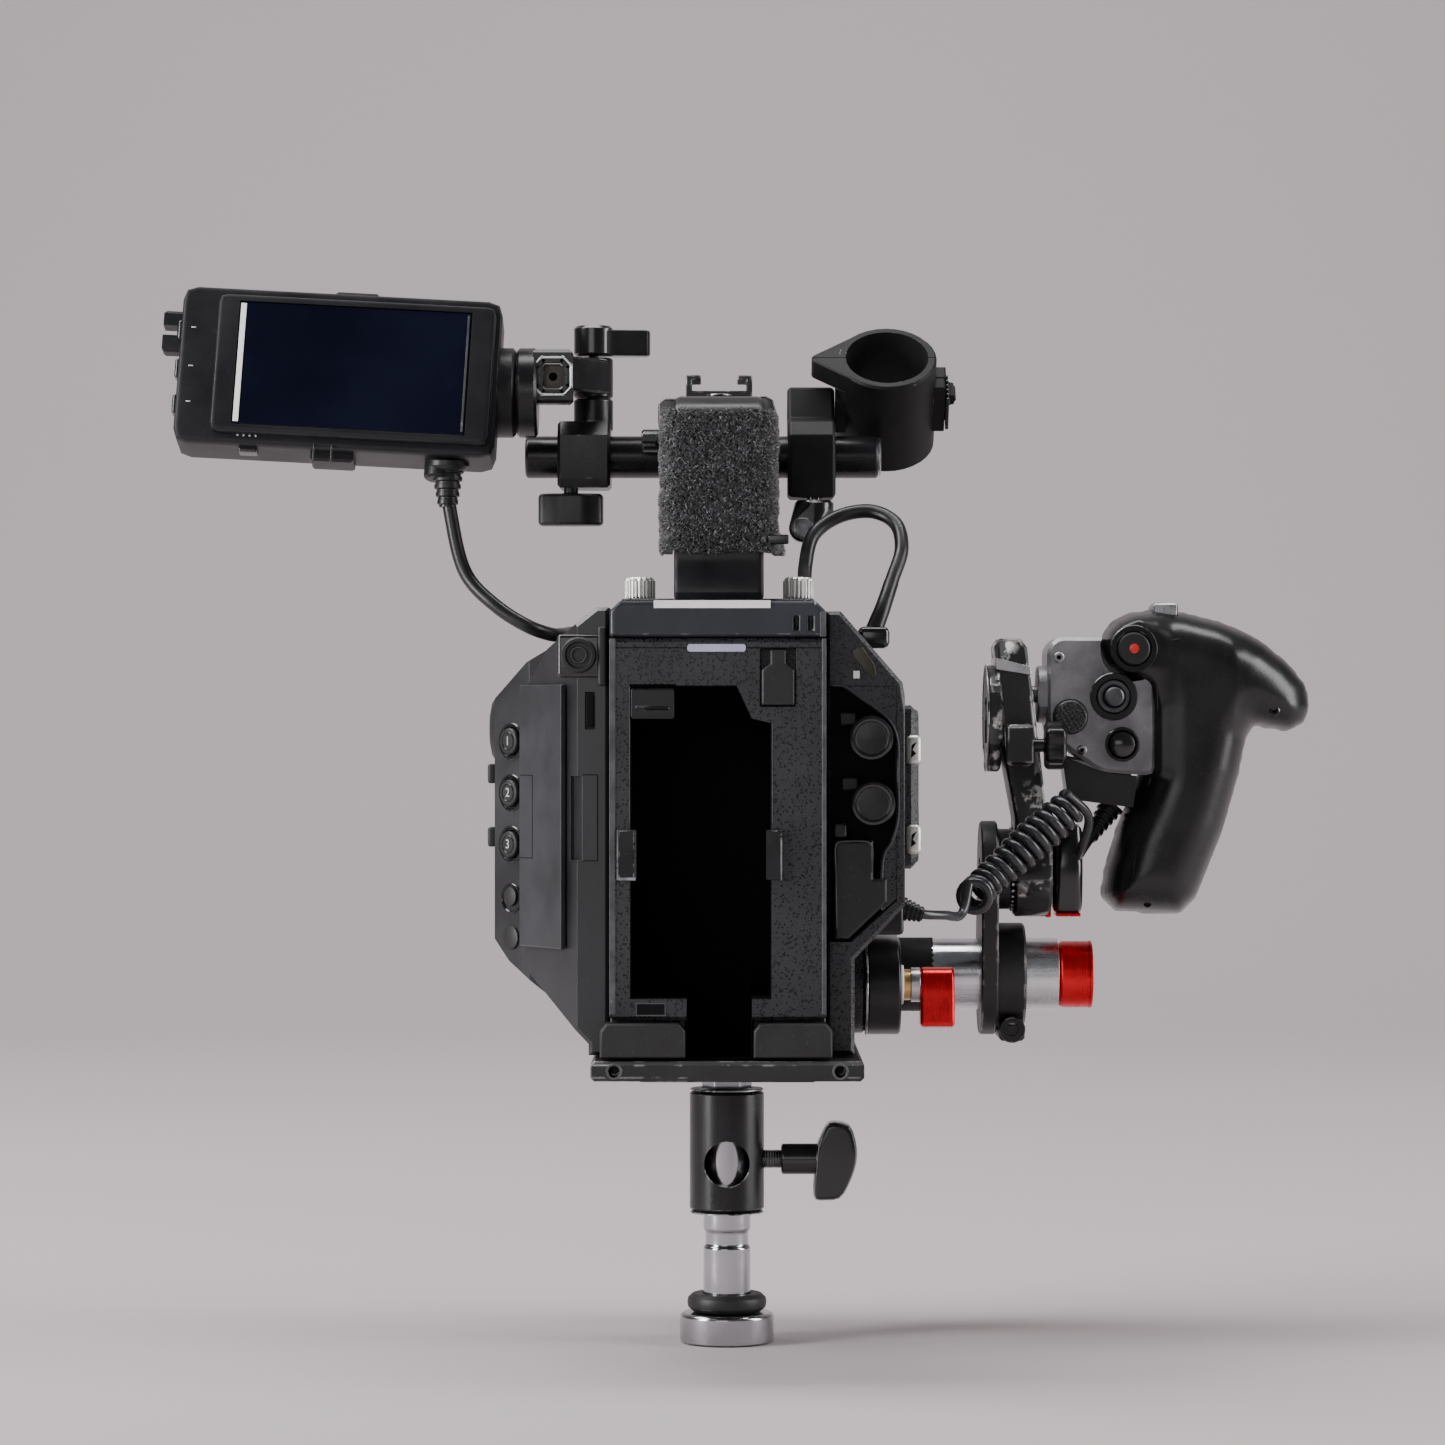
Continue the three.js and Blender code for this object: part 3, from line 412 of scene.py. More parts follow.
# The coil's own line starts towards the viewer and then climbs to the right.
COIL = smooth_path([(83.6, -9.5, 151.2), (84.4, -4.5, 152), (88.4, 0, 156), (99, 3, 165.4), (110, 6, 175),
                    (118.5, 8, 182.5)], 0.5)
TURNS, COIL_R = 14, 5.1


def helix():
    """The curly part of the grip cord, wound round the coil's own line."""
    n, line, side = TURNS * 20, [], Vector((1, 0, 0))
    for i in range(n + 1):
        at = i / n * (len(COIL) - 1)
        k = min(int(at), len(COIL) - 2)
        w = (COIL[min(k + 3, len(COIL) - 1)] - COIL[max(k - 3, 0)]).normalized()
        side = (side - w * side.dot(w)).normalized()
        t = 2 * math.pi * TURNS * i / n - 1.9
        r = COIL_R * (1 - 0.12 * math.sin(7 * i / n))
        middle = COIL[k].lerp(COIL[k + 1], at - k)
        line.append(middle + (side * math.cos(t) + w.cross(side) * math.sin(t)) * r)
    return line


coil_line = helix()
lead_line = smooth_path([(58.6, -30, 148), (64, -30, 146.4), (73, -23, 145.6), (79, -15, 145.6),
                         tuple(coil_line[0])])
tail_line = smooth_path([tuple(coil_line[-1]), (124, 14, 178), (122.5, 24, 167), (122, 34, 163.5),
                         (125, 42, 167),
                         (131, 46, 175.5), (133.5, 47, 180)])
for name, line, a, b in (("grip_cord_lead", lead_line, "camera", "side_arm"),
                         ("grip_cord_coil", coil_line, "side_arm", "swing_arm"),
                         ("grip_cord_tail", tail_line, "swing_arm", "grip")):
    o = tube(name, line, 1.6, "coil_jacket", sides=12)
    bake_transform(o)
    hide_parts("grip_cord")


# ---- pile wrap on the handle's rear post -----------------------------------------
def wrap():
    """A strip of pile fabric round the back and sides of the post, with one corner coming away."""
    x0, x1, y0, y1, z0, z1, r = -19.4, 14.0, -64.8, -37.0, 266.0, 312.0, 4.0
    line = [Vector((x0, y1, 0)), Vector((x0, y0 + r, 0))]
    for k in range(1, 6):
        a = math.pi / 2 * k / 5
        line.append(Vector((x0 + r - r * math.cos(a), y0 + r - r * math.sin(a), 0)))
    for k in range(0, 6):
        a = math.pi / 2 * k / 5
        line.append(Vector((x1 - r + r * math.sin(a), y0 + r - r * math.cos(a), 0)))
    line += [Vector((x1, y1, 0))]
    fine = []
    for a, b in zip(line, line[1:]):
        n = max(1, round((b - a).length / 1.5))
        fine += [a.lerp(b, k / n) for k in range(n)]
    fine.append(line[-1])
    rows, thick = 32, 2.6
    outer, inner = [], []
    for j in range(rows + 1):
        z = z0 + (z1 - z0) * j / rows
        for i, p in enumerate(fine):
            t = (fine[min(i + 1, len(fine) - 1)] - fine[max(i - 1, 0)]).normalized()
            n = Vector((t.y, -t.x, 0))
            loose = max(0.0, 1 - j / rows * 4.0) * max(0.0, (i / len(fine) - 0.62) / 0.38)
            waves = 0.35 * math.sin(0.9 * z + 0.3 * i) + 0.3 * math.sin(0.35 * z - 0.21 * i)
            q = p + n * (waves + 4.0 * loose * loose) + Vector((0, 0, z + 0.5 * math.sin(0.4 * i)))
            outer.append(q + n * (thick / 2))
            inner.append(q - n * (thick / 2))
    w = len(fine)
    points = [tuple(p) for p in outer + inner]
    half = len(outer)
    faces = []
    for j in range(rows):
        for i in range(w - 1):
            a = j * w + i
            faces.append((a, a + 1, a + w + 1, a + w))
            faces.append((half + a, half + a + w, half + a + w + 1, half + a + 1))
    rim = [j * w for j in range(rows, 0, -1)] + list(range(w - 1)) + [j * w + w - 1 for j in range(rows)]
    rim += [rows * w + i for i in range(w - 1, 0, -1)]
    for a, b in zip(rim, rim[1:] + rim[:1]):
        faces.append((a, half + a, half + b, b))
    return points, faces, outer, w, rows


points, faces, outer, across, rows = wrap()
cloth = shape("pile_wrap", points, faces, "fabric", "camera", sharp=60)
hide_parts("handle_wrap")


def pile(outer, w, rows, count):
    """Short curled fibres over the strip's face."""
    points, faces = [], []
    for _ in range(count):
        i, j = RNG.randrange(w - 1), RNG.randrange(rows)
        a, b, c = outer[j * w + i], outer[j * w + i + 1], outer[(j + 1) * w + i]
        root = a + (b - a) * RNG.random() + (c - a) * RNG.random()
        n = (b - a).cross(c - a).normalized()
        if n.y > 0.3:
            n = -n
        lean = (b - a).normalized() * RNG.uniform(-1, 1) + Vector((0, 0, RNG.uniform(-1, 1)))
        wide = lean.cross(n).normalized() * RNG.uniform(0.05, 0.11)
        tall = RNG.uniform(0.5, 1.6)
        path = [root - n * 0.2, root + n * tall * 0.7 + lean * 0.25, root + n * tall + lean * 0.8,
                root + n * tall * 0.5 + lean * 1.3]
        k = len(points)
        for p in path:
            points += [tuple(p - wide), tuple(p + wide)]
        faces += [(k + 2 * s, k + 2 * s + 1, k + 2 * s + 3, k + 2 * s + 2) for s in range(3)]
    return points, faces


points, faces = pile(outer, across, rows, 30000)
fur = shape("wrap_pile", points, faces, "loops", "camera", sharp=180)
points, faces = pile(outer, across, rows, 7000)
tips = shape("wrap_pile_tips", points, faces, "loop_tips", "camera", sharp=180)

# ---- rubber grip ------------------------------------------------------------
def voxel(o, size, passes):
    """Joins the overlapping closed shells of a mesh into one soft skin."""
    remesh = o.modifiers.new("skin", "REMESH")
    remesh.mode, remesh.voxel_size = "VOXEL", size * MM
    soften = o.modifiers.new("soften", "SMOOTH")
    soften.factor, soften.iterations = 0.5, passes
    baked = bpy.data.meshes.new_from_object(o.evaluated_get(bpy.context.evaluated_depsgraph_get()))
    o.modifiers.clear()
    o.data = baked


GRIP = [(143.4, 222.6), (138.8, 227), (133.6, 231.6), (131.6, 236.5), (132.4, 241.8), (136.2, 246),
        (142, 248.4),
        (150, 249.4), (160, 248.4), (172.6, 245.2), (182, 241.4), (188, 237.8), (196.6, 230.6),
        (202.6, 223.4), (204, 216.4),
        (202.2, 210.4), (197, 207.6), (190.6, 208.4), (184.4, 209.6), (181.6, 204.8), (179, 192),
        (173.4, 172.2), (164.2, 149.2),
        (158.4, 143.4), (136, 144.4), (131.4, 149.4), (132.6, 158), (137.2, 174), (142, 184.4),
        (144.8, 192), (144.8, 216)]
MARGIN = (5.5, 0.62)  # width and slope of the turned-back left edge


def to_edge(x, z):
    """How far a point is inside the grip's outline, or a negative number outside it."""
    inside, near = False, 1e9
    for (ax, az), (bx, bz) in zip(GRIP, GRIP[1:] + GRIP[:1]):
        dx, dz = bx - ax, bz - az
        t = min(1, max(0, ((x - ax) * dx + (z - az) * dz) / (dx * dx + dz * dz)))
        near = min(near, math.hypot(x - ax - t * dx, z - az - t * dz))
        if (az > z) != (bz > z) and x < ax + (z - az) * dx / dz:
            inside = not inside
    return near if inside else -near


def swell(x, z, d):
    """Half the grip's thickness: full by the record button, rounder over the palm, thin at the thumb rest."""
    palm = min(1.0, max(0.0, (x - 143) / 12, (214 - z) / 22 if z < 192 else 0))
    round_over = 4.5 + 10.5 * palm
    deep = (22.6 - 1.6 * palm) * (1 - 0.34 * max(0.0, (x - 176) / 28) ** 0.9)
    if x < 160 and 170 < z < 231:
        deep -= MARGIN[1] * max(0.0, MARGIN[0] - d) * min(1.0, (z - 170) / 14, (231 - z) / 5)
    return deep * (1 - (1 - min(1.0, max(0.0, d) / round_over)) ** 2.2) ** (1 / 2.2)


def grip_skin():
    """Front and back sheets over the outline, swollen towards its middle."""
    step, x0, z0 = 1.0, 130.0, 142.0
    nx, nz = 76, 109
    deep, points, index, faces = {}, [], {}, []
    for i in range(nx):
        for k in range(nz):
            d = to_edge(x0 + i * step, z0 + k * step)
            if d > -1.0:
                deep[i, k] = max(0.35, swell(x0 + i * step, z0 + k * step, d + 0.3))
    cells = [(i, k) for i in range(nx) for k in range(nz)
             if all(c in deep for c in ((i, k), (i + 1, k), (i, k + 1), (i + 1, k + 1)))]
    edges = {}
    for i, k in cells:
        ring_of = [(i, k), (i + 1, k), (i + 1, k + 1), (i, k + 1)]
        for side in (-1, 1):
            for c in ring_of:
                if (c, side) not in index:
                    index[c, side] = len(points)
                    points.append((x0 + c[0] * step, 51 + side * deep[c], z0 + c[1] * step))
        faces.append([index[c, -1] for c in ring_of])
        faces.append([index[c, 1] for c in ring_of][::-1])
        for a, b in zip(ring_of, ring_of[1:] + ring_of[:1]):
            if (b, a) in edges:
                del edges[b, a]
            else:
                edges[a, b] = True
    for a, b in edges:
        faces.append([index[b, -1], index[a, -1], index[a, 1], index[b, 1]])
    return points, faces


points, faces = grip_skin()
grip = shape("grip_rubber", points, faces, "grip_rubber")
bm = bmesh.new()
bm.from_mesh(grip.data)
bmesh.ops.recalc_face_normals(bm, faces=bm.faces)
bm.to_mesh(grip.data)
voxel(grip, 0.8, 14)
finish_mesh(grip, "grip_rubber", "grip", sharp=180)
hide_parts("grip_body")

# ---- small parts that the CAD leaves out -----------------------------------------
BACK = (0, -1, 0)


def flat(name, body, material, outline, y, thick=0.3, **looks):
    """A plate seen from behind: an outline in x and z, standing out from the plane y."""
    n = len(outline)
    points = [(x, v, z) for v in (y, y - thick) for x, z in outline]
    faces = [tuple(range(n)), tuple(range(n, 2 * n))[::-1]]
    faces += [(i, n + i, n + (i + 1) % n, (i + 1) % n) for i in range(n)]
    return shape(name, points, faces, material, body, **looks)


def box_outline(x0, x1, z0, z1):
    return [(x0, z0), (x1, z0), (x1, z1), (x0, z1)]


def numeral(name, body, text, at, height, direction, material="ink"):
    """A raised figure on a key."""
    curve = bpy.data.curves.new(name, "FONT")
    curve.body = text
    curve.size = height * MM
    curve.align_x = "CENTER"
    curve.align_y = "CENTER"
    curve.extrude = 0.05 * MM
    o = bpy.data.objects.new(name, curve)
    mesh = bpy.data.meshes.new_from_object(o)
    bpy.data.objects.remove(o)
    w = Vector(direction).normalized()
    right = Vector((0, 0, 1)).cross(w).normalized()
    mesh.transform(Matrix((right, w.cross(right), w)).transposed().to_4x4())
    mesh.transform(Matrix.Translation(Vector(at) * MM))
    o = bpy.data.objects.new(name, mesh)
    bpy.context.scene.collection.objects.link(o)
    return finish_mesh(o, material, body)


def screw(name, body, centre, direction, r, material="worn_steel"):
    """A screw head with a dark drive hole."""
    lathe(name, body, material, centre, direction,
          [(r, 0), (r, 0.5), (r * 0.8, 0.8), (r * 0.45, 0.8), (r * 0.4, 0.2)],
          sides=28)
    w = Vector(direction).normalized()
    lathe(name + "_drive", body, "black_and_painted_shade", Vector(centre) + w * 0.15, direction,
          [(r * 0.42, 0), (r * 0.42, 0.2)],
          sides=6)


def ribbed(name, body, material, centre, direction, r0, r1, long, ribs, **looks):
    """A tapering strain relief with rings round it."""
    profile = []
    for i in range(ribs):
        r, h, pitch = r0 + (r1 - r0) * i / (ribs - 1), long * i / ribs, long / ribs
        profile += [(r, h), (r + 0.1, h + pitch * 0.2), (r + 0.1, h + pitch * 0.55),
                    (r * 0.84, h + pitch * 0.7),
                    (r * 0.84, h + pitch * 0.95)]
    return lathe(name, body, material, centre, direction, profile, sides=32, **looks)


def seam(name, body, points, r=0.22, material="black_and_painted_shade", step=1.0):
    o = tube(name, smooth_path(points, step), r, material, sides=6)
    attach(o, body)
    return o


# camera back
flat("blank_label", "camera", "label", box_outline(-23.4, 13.8, 246.7, 249.2), REAR, 0.25)
flat("tally_bar", "camera", "tally",
     [(-12.7, 233.4), (-12.2, 232.8), (5.4, 232.8), (5.9, 233.4), (5.9, 234.6),
     (5.4, 235.2), (-12.2, 235.2), (-12.7, 234.6)], REAR, 0.35)
flat("cap_seam", "camera", "black_and_painted_shade", box_outline(-37, 31, 233.85, 234.2), REAR, 0.06)
# a light grey strip on the left rear corner's chamfer: a painted highlight
flat("left_painted_highlight_strip", "camera", "grey_and_painted_highlight", box_outline(-37.55, -35.7, 117, 237), REAR, 0.3, bevel=0.15)
# thin grey strips along the battery bay's left and right edges: painted highlights
flat("bay_left_painted_highlight", "camera", "grey_and_painted_highlight", box_outline(-31.3, -31.0, 178, 221.6), REAR, 0.15)
flat("bay_right_painted_highlight", "camera", "grey_and_painted_highlight", box_outline(14.3, 14.6, 178, 209.6), REAR, 0.12)

BAY = [(-31, 122), (-13, 122), (-13, 103), (8, 103), (8, 122), (14.2, 122), (14.2, 210), (8, 211.5),
       (3, 222), (-31, 222)]


def inset(outline, by):
    """The outline, drawn in by a distance."""
    inner, n = [], len(outline)
    for i, (x, z) in enumerate(outline):
        before, after = Vector(outline[i - 1]), Vector(outline[(i + 1) % n])
        e, f = (Vector((x, z)) - before).normalized(), (after - Vector((x, z))).normalized()
        p, q = Vector((-e.y, e.x)), Vector((-f.y, f.x))
        m = (p + q) * (by / max(0.2, 1 + p.dot(q)))
        inner.append((x + m.x, z + m.y))
    return inner


def bay_lining():
    """A thin black skin over the walls and the end of the battery bay: painted shade, darker than the body's
    paint.
    """
    points, n = [], len(BAY)
    for by, start, end in ((0.05, REAR + 0.3, -22.15), (0.22, REAR + 0.3, -22.4)):
        points += [(x, y, z) for y in (start, end) for x, z in inset(BAY, by)]
    faces = []
    for i in range(n):
        k = (i + 1) % n
        faces += [(i, k, n + k, n + i), (2 * n + k, 2 * n + i, 3 * n + i, 3 * n + k),
                  (k, i, 2 * n + i, 2 * n + k)]
    faces += [tuple(range(n, 2 * n)), tuple(range(3 * n, 4 * n))[::-1]]
    return shape("bay_lining", points, faces, "black_and_painted_shade", "camera")


bay_lining()
# light grey strips on the right rear corner's chamfer and at the cap's corner: painted highlights
flat("right_painted_highlight_strip", "camera", "grey_and_painted_highlight", box_outline(30.2, 31.55, 117, 237), REAR, 0.4, bevel=0.3)
flat("cap_corner_painted_highlight", "camera", "grey_and_painted_highlight", box_outline(29.6, 31.5, 237.6, 245.5), REAR, 0.3, bevel=0.25)
flat("blank_badge", "camera", "grey_and_painted_highlight", box_outline(-29.2, -19.6, 116.6, 120.8), REAR, 0.12)
flat("blank_badge_face", "camera", "black_and_painted_shade", box_outline(-28.8, -20, 117, 120.4), REAR - 0.12, 0.06)
for side, x, face in (("left", -35.2, -31.9), ("right", 17.0, 15.0)):
    flat(f"{side}_rail_face", "camera", "black_metal", box_outline(face - 2.6, face + 2.2, 160.3, 175.7),
         REAR - 1.45, 0.15)
    flat(f"{side}_rail_edge", "camera", "worn_steel", box_outline(x, x + 0.5, 160, 176), REAR - 1.5, 0.2)
flat("left_rail_foot", "camera", "worn_steel", box_outline(-34.8, -29.2, 159.9, 160.8), REAR - 1.5, 0.2)
flat("olive_window", "camera", "olive",
     [(40.4, 233.2), (43.4, 234.6), (47.6, 228.4), (47.8, 225.4), (46.4, 224.8),
     (40.6, 231.2)], -87, 0.5, bevel=0.2)
flat("blank_tag", "camera", "label", box_outline(40.6, 42.6, 224.4, 226.8), -87, 0.15)
for key, z in (("upper", 201), ("lower", 171)):
    block(f"{key}_push_tab", "camera", "knurled", (60.0, 65.2), (-24.8, -21.6), (z - 5, z + 5), bevel=1.6)
    flat(f"{key}_push_mark", "camera", "black_and_painted_shade",
         [(61.6, z - 2.6), (63.4, z - 1.2), (62.2, z), (63.6, z + 2.8), (61.8, z + 1.6)],
         -24.8, 0.1)
block("small_lug", "camera", "rubber", (34.2, 38.4), (-88.5, -84.4), (173.2, 177.8), bevel=0.8)

# recess in the right housing: a black floor as its painted shade, shoulders that close its corners, a grey
# tube along its rim as a painted highlight
# a black plate on the recess floor: painted shade
flat("recess_painted_shade_floor", "camera", "black_and_painted_shade",
     [(33.2, 139.8), (39.8, 139.8), (54.4, 153.2), (54.4, 221.8), (33.2, 221.8)], -81.95, 0.25)
flat("recess_shoulder_upper", "camera", "black_paint",
     [(36.6, 222.2), (54.8, 222.2), (54.8, 206.6), (52.6, 210), (48.6, 213.8)],
     -82.2, 4.7, bevel=0.5)
flat("recess_shoulder_lower", "camera", "black_paint",
     [(54.8, 178.6), (53, 171.8), (50.8, 168.2), (49.8, 162), (49.8, 149),
     (54.8, 153.6)], -82.2, 4.7, bevel=0.5)
# a grey tube along the recess's rim: a painted highlight
seam("recess_rim_painted_highlight", "camera",
     [(34, -87, 222.3), (37, -87, 222.1), (42.8, -87, 218.3), (48.6, -87, 214), (52.8, -87, 210),
     (54.8, -87, 204.6), (55, -87, 192), (54.9, -87, 179), (53, -87, 171.9), (50.7, -87, 168.2),
     (49.8, -87, 162),
     (49.6, -87, 150)], 0.55, "satin_grey")
# a thin grey tube round the port cover's outline: a painted highlight
seam("port_painted_highlight_edge", "camera",
     [(35.2, -89, 144), (35, -89, 160), (35.2, -89, 171.4), (37, -89, 171.9), (45, -89, 171.8),
     (46.4, -89, 170.6), (46.5, -89, 162)], 0.28, "grey_and_painted_highlight")

# caps over the two round sockets
for key, x, z in (("upper", 46.2, 205.2), ("lower", 46.8, 184.2)):
    lathe(f"sdi_cap_{key}_rim", f"sdi_cap_{key}", "gloss_plastic", (x, -91.6, z), BACK,
          [(7.1, 0), (7.15, 0.8), (6.8, 1.5), (6.1, 1.85), (5.5, 1.6), (5.2, 1.0), (5.0, 0.85),
           (0.3, 0.95)], sides=56)
    # a thin grey ring on each cap's face: a painted highlight
    ring(f"sdi_cap_{key}_line", f"sdi_cap_{key}", "grey_and_painted_highlight", (x, -92.4, z), BACK, 5.15, 4.95, 0.25)

# headphone socket cover and its strap
block("phones_base", "camera", "gloss_plastic", (-54.6, -40.2), (-92.6, -89.6), (224.6, 238.6), bevel=2.8,
      segments=4)
lathe("phones_cover", "camera", "rubber", (-47.6, -91.8, 231.8), BACK,
      [(5.8, 0), (5.8, 1.2), (5.3, 1.9), (4.4, 2.0), (3.9, 1.2), (0.8, 1.2)], sides=48)
ring("phones_cover_ring", "camera", "gloss_plastic", (-47.6, -92.9, 231.8), BACK, 2.8, 2.1, 0.5)
block("phones_strap", "camera", "rubber", (-41.5, -38.6), (-93, -90), (222, 241), bevel=0.8)
block("strap_slot", "camera", "black_and_painted_shade", (-45.2, -42.8), (-91.4, -90.8), (209, 219.5), bevel=0.25)

# keys on the left side
OUT = Vector((-0.7348, -0.6783, 0))
for i, z in enumerate((204, 187, 170), 1):
    face = Vector((-71, -47.5, z)) + OUT * 1.8
    ring(f"key_ring_{i}", "camera", "gloss_plastic", Vector((-71, -47.5, z)) - OUT * 0.2, OUT, 6.2, 5.0,
         0.9)
    ring(f"key_groove_{i}", f"user_button_{i}", "gloss_plastic", face - OUT * 0.1, OUT, 3.1, 2.6, 0.3)
    numeral(f"key_figure_{i}", f"user_button_{i}", str(i), face + OUT * 0.1, 4.2, OUT)
ring("focus_ring", "camera", "gloss_plastic", Vector((-71, -47.5, 152.2)) - OUT * 0.2, OUT, 5.0, 4.2, 0.9)
disc("focus_switch", "camera", "rubber", Vector((-71, -47.5, 152.8)), OUT, 3.2, 1.2, 0.5)
disc("focus_key", "camera", "rubber", Vector((-71, -47.5, 139.2)) - OUT * 0.2, OUT, 3.9, 1.1, 0.5)
for i, z in enumerate((190, 169)):
    block(f"side_nub_{i}", "camera", "rubber", (-79.4, -76.6), (-40, -34), (z, z + 6.5), bevel=0.8)
DOOR_AT, ALONG, DOOR_OUT = Vector((-47, -93, 0)), Vector((-0.4837, 0.8752, 0)), Vector((-0.8752, -0.4837,
        0))
for k, (t0, z0, t1, z1) in enumerate(((30, 193, 39, 193), (30, 193, 30, 166), (30, 166, 39, 166))):
    ends = [DOOR_AT + ALONG * t + DOOR_OUT * 2.15 + Vector((0, 0, z)) for t, z in ((t0, z0), (t1, z1))]
    o = tube(f"door_panel_seam_{k}", [ends[0].lerp(ends[1], i / 6) for i in range(7)], 0.17, "black_and_painted_shade",
             sides=6)
    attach(o, "media_door")
for k, (x0, z0, x1, z1) in enumerate(((-46.4, 193.4, -41.6, 193.4), (-41.6, 193.4, -41.6, 165.8),
                                      (-41.6, 165.8, -46.4, 165.8))):
    seam(f"rear_panel_seam_{k}", "camera",
         [(x0, -91.05, z0), ((x0 + x1) / 2, -91.05, (z0 + z1) / 2), (x1, -91.05, z1)], 0.16)

# handle: thumb screws, side hooks, strap tail
for side, x in (("left", -28.8), ("right", 23.6)):
    for i in range(24):
        t = 2 * math.pi * i / 24
        turn = Matrix.Translation((x + 4.7 * math.cos(t), -40 + 4.7 * math.sin(t),
                                   254.2)) @ Matrix.Rotation(t, 4, "Z")
        block(f"{side}_screw_rib_{i}", f"handle_screw_{side}", "knurled", (-0.2, 0.35), (-0.3, 0.3),
              (-3, 3), bevel=0.15,
              turn=turn)
block("wrap_tab", "camera", "gloss_plastic", (13.2, 20.2), (-66.0, -63.8), (268.4, 271.6), bevel=0.6)
flat("handle_shoulder_left", "camera", "gloss_plastic", [(-16, 300), (-20, 304), (-23, 310), (-23, 316.4),
     (-21, 318.4), (-16, 318.4)], -30, -14, bevel=0.8)
flat("handle_shoulder_right", "camera", "gloss_plastic",
     [(10.5, 300), (15.6, 305), (16.8, 313), (15.4, 318),
     (13, 319.2), (10.5, 319.2)], -30, -14, bevel=0.8)
lathe("rod_tip", "cross_rod", "steel", (53.9, 78, 304.8), (1, 0, 0),
      [(6.8, 0), (6.8, 0.6), (6.2, 1.0), (0.5, 1.0)])

# leads' plugs
block("loop_plug", "camera", "gloss_plastic", (44.4, 55.2), (-5.5, 5.5), (235.4, 242.8), bevel=2.0)
boot = [p for p in loop_line if p.z < 259 and p.x > 40]
o = tube("loop_plug_boot", boot, lambda i: 2.6 + 0.9 * (i / len(boot)) ** 2, "cable")
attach(o, "camera")
block("lead_plug", "camera", "black_plastic", (45.5, 58.8), (-36, -24), (139.5, 150.5), bevel=1.4)
ribbed("lead_plug_relief", "camera", "cable", (58.4, -30, 148.1), (1, 0, -0.3), 3.9, 2.6, 7.5, 5)

# red lever, its washers and the arm's tube
LOCK = Vector((0, 10, 120.5))
for name, material, x, r, long in (("white_washer", "label", 59.0, 6.8, 1.4),
                                   ("brass_washer", "brass", 60.4, 5.3, 2.6),
                                   ("steel_collar", "steel", 63.0, 5.9, 3.2)):
    ring(name, "arm_lock_knob", material, LOCK + Vector((x, 0, 0)), (1, 0, 0), r, 2.9, long)
ring("flange_edge", "side_arm", "worn_steel", (47.4, 15, 119.6), (1, 0, 0), 16.7, 16.1, 0.7, sides=64)
TUBE = Vector((0, 45, 122.2))


tape_points, tape_faces, teeth = [], [], 72
for i in range(teeth):
    t = 2 * math.pi * i / teeth
    spoke = Vector((0, math.cos(t), math.sin(t)))
    for r, x in ((12.5, 59.6), (12.85, 59.6), (12.85, 71.0 + 0.9 * (i % 2)), (12.5, 71.0 + 0.9 * (i % 2))):
        tape_points.append(tuple(TUBE + spoke * r + Vector((x, 0, 0))))
for i in range(teeth):
    a, b = 4 * i, 4 * ((i + 1) % teeth)
    tape_faces += [(a + k, b + k, b + (k + 1) % 4, a + (k + 1) % 4) for k in range(4)]
shape("tube_tape", tape_points, tape_faces, "tape", "side_arm")
ring("cap_rim", "side_arm", "red_anodised", TUBE + Vector((126.4, 0, 0)), (1, 0, 0), 11.75, 9.4, 1.0,
     sides=64)
ring("satin_sleeve", "side_arm", "bright_steel", TUBE + Vector((104.2, 0, 0)), (1, 0, 0), 12.62, 12.4, 11.2,
     sides=96)
lathe("clamp_screw", "side_arm", "black_metal", (99, 35, 103.6), BACK,
      [(4.6, 0), (4.6, 2.6), (4.2, 3.2), (2.3, 3.2),
      (2.2, 1.4)], sides=40)
lathe("clamp_screw_socket", "side_arm", "worn_steel", (99, 33.6, 103.6), BACK, [(2.3, 0), (2.3, 0.2)],
      sides=6)
ring("clamp_gap", "side_arm", "black_and_painted_shade", TUBE + Vector((93.3, 0, 0)), (1, 0, 0), 18.2, 17.9, 0.5,
     sides=72)

# toothed joint, arm bands and red marks
for i in range(36):
    t = 2 * math.pi * i / 36
    turn = Matrix.Translation((98.9, 38 + 13.4 * math.cos(t),
                               159.2 + 13.4 * math.sin(t))) @ Matrix.Rotation(t, 4, "X")
    block(f"joint_tooth_{i}", "side_arm", "steel", (-0.5, 0.6), (-1.4, 1.2), (-0.55, 0.55), bevel=0.2,
          turn=turn)
flat("arm_band", "swing_arm", "steel", [(92.6, 232.6), (104.9, 229.6), (105.2, 226.6), (92.9, 228.6)], 51.3,
     26.6, bevel=0.3)
block("arm_red_mark", "swing_arm", "red_anodised", (110.6, 112.6), (33, 43), (142.5, 147.2), bevel=0.5)
block("knob_red_mark", "swing_arm_knob", "red_anodised", (114.2, 122.8), (31.5, 44.5), (142.9, 144.2),
      bevel=0.4)
ring("arm_disc_rim", "swing_arm", "worn_steel", (89.9, 38, 211.6), (1, 0, 0), 18.7, 18.2, 0.5, sides=72)

# grip head
FACE = 32.0
RECORD, STICK, RELEASE, MENU = (140.9, 235.8), (134.2, 219.2), (119.2, 212.2), (137.2, 202.6)


def key_at(key, y):
    return key[0], y, key[1]


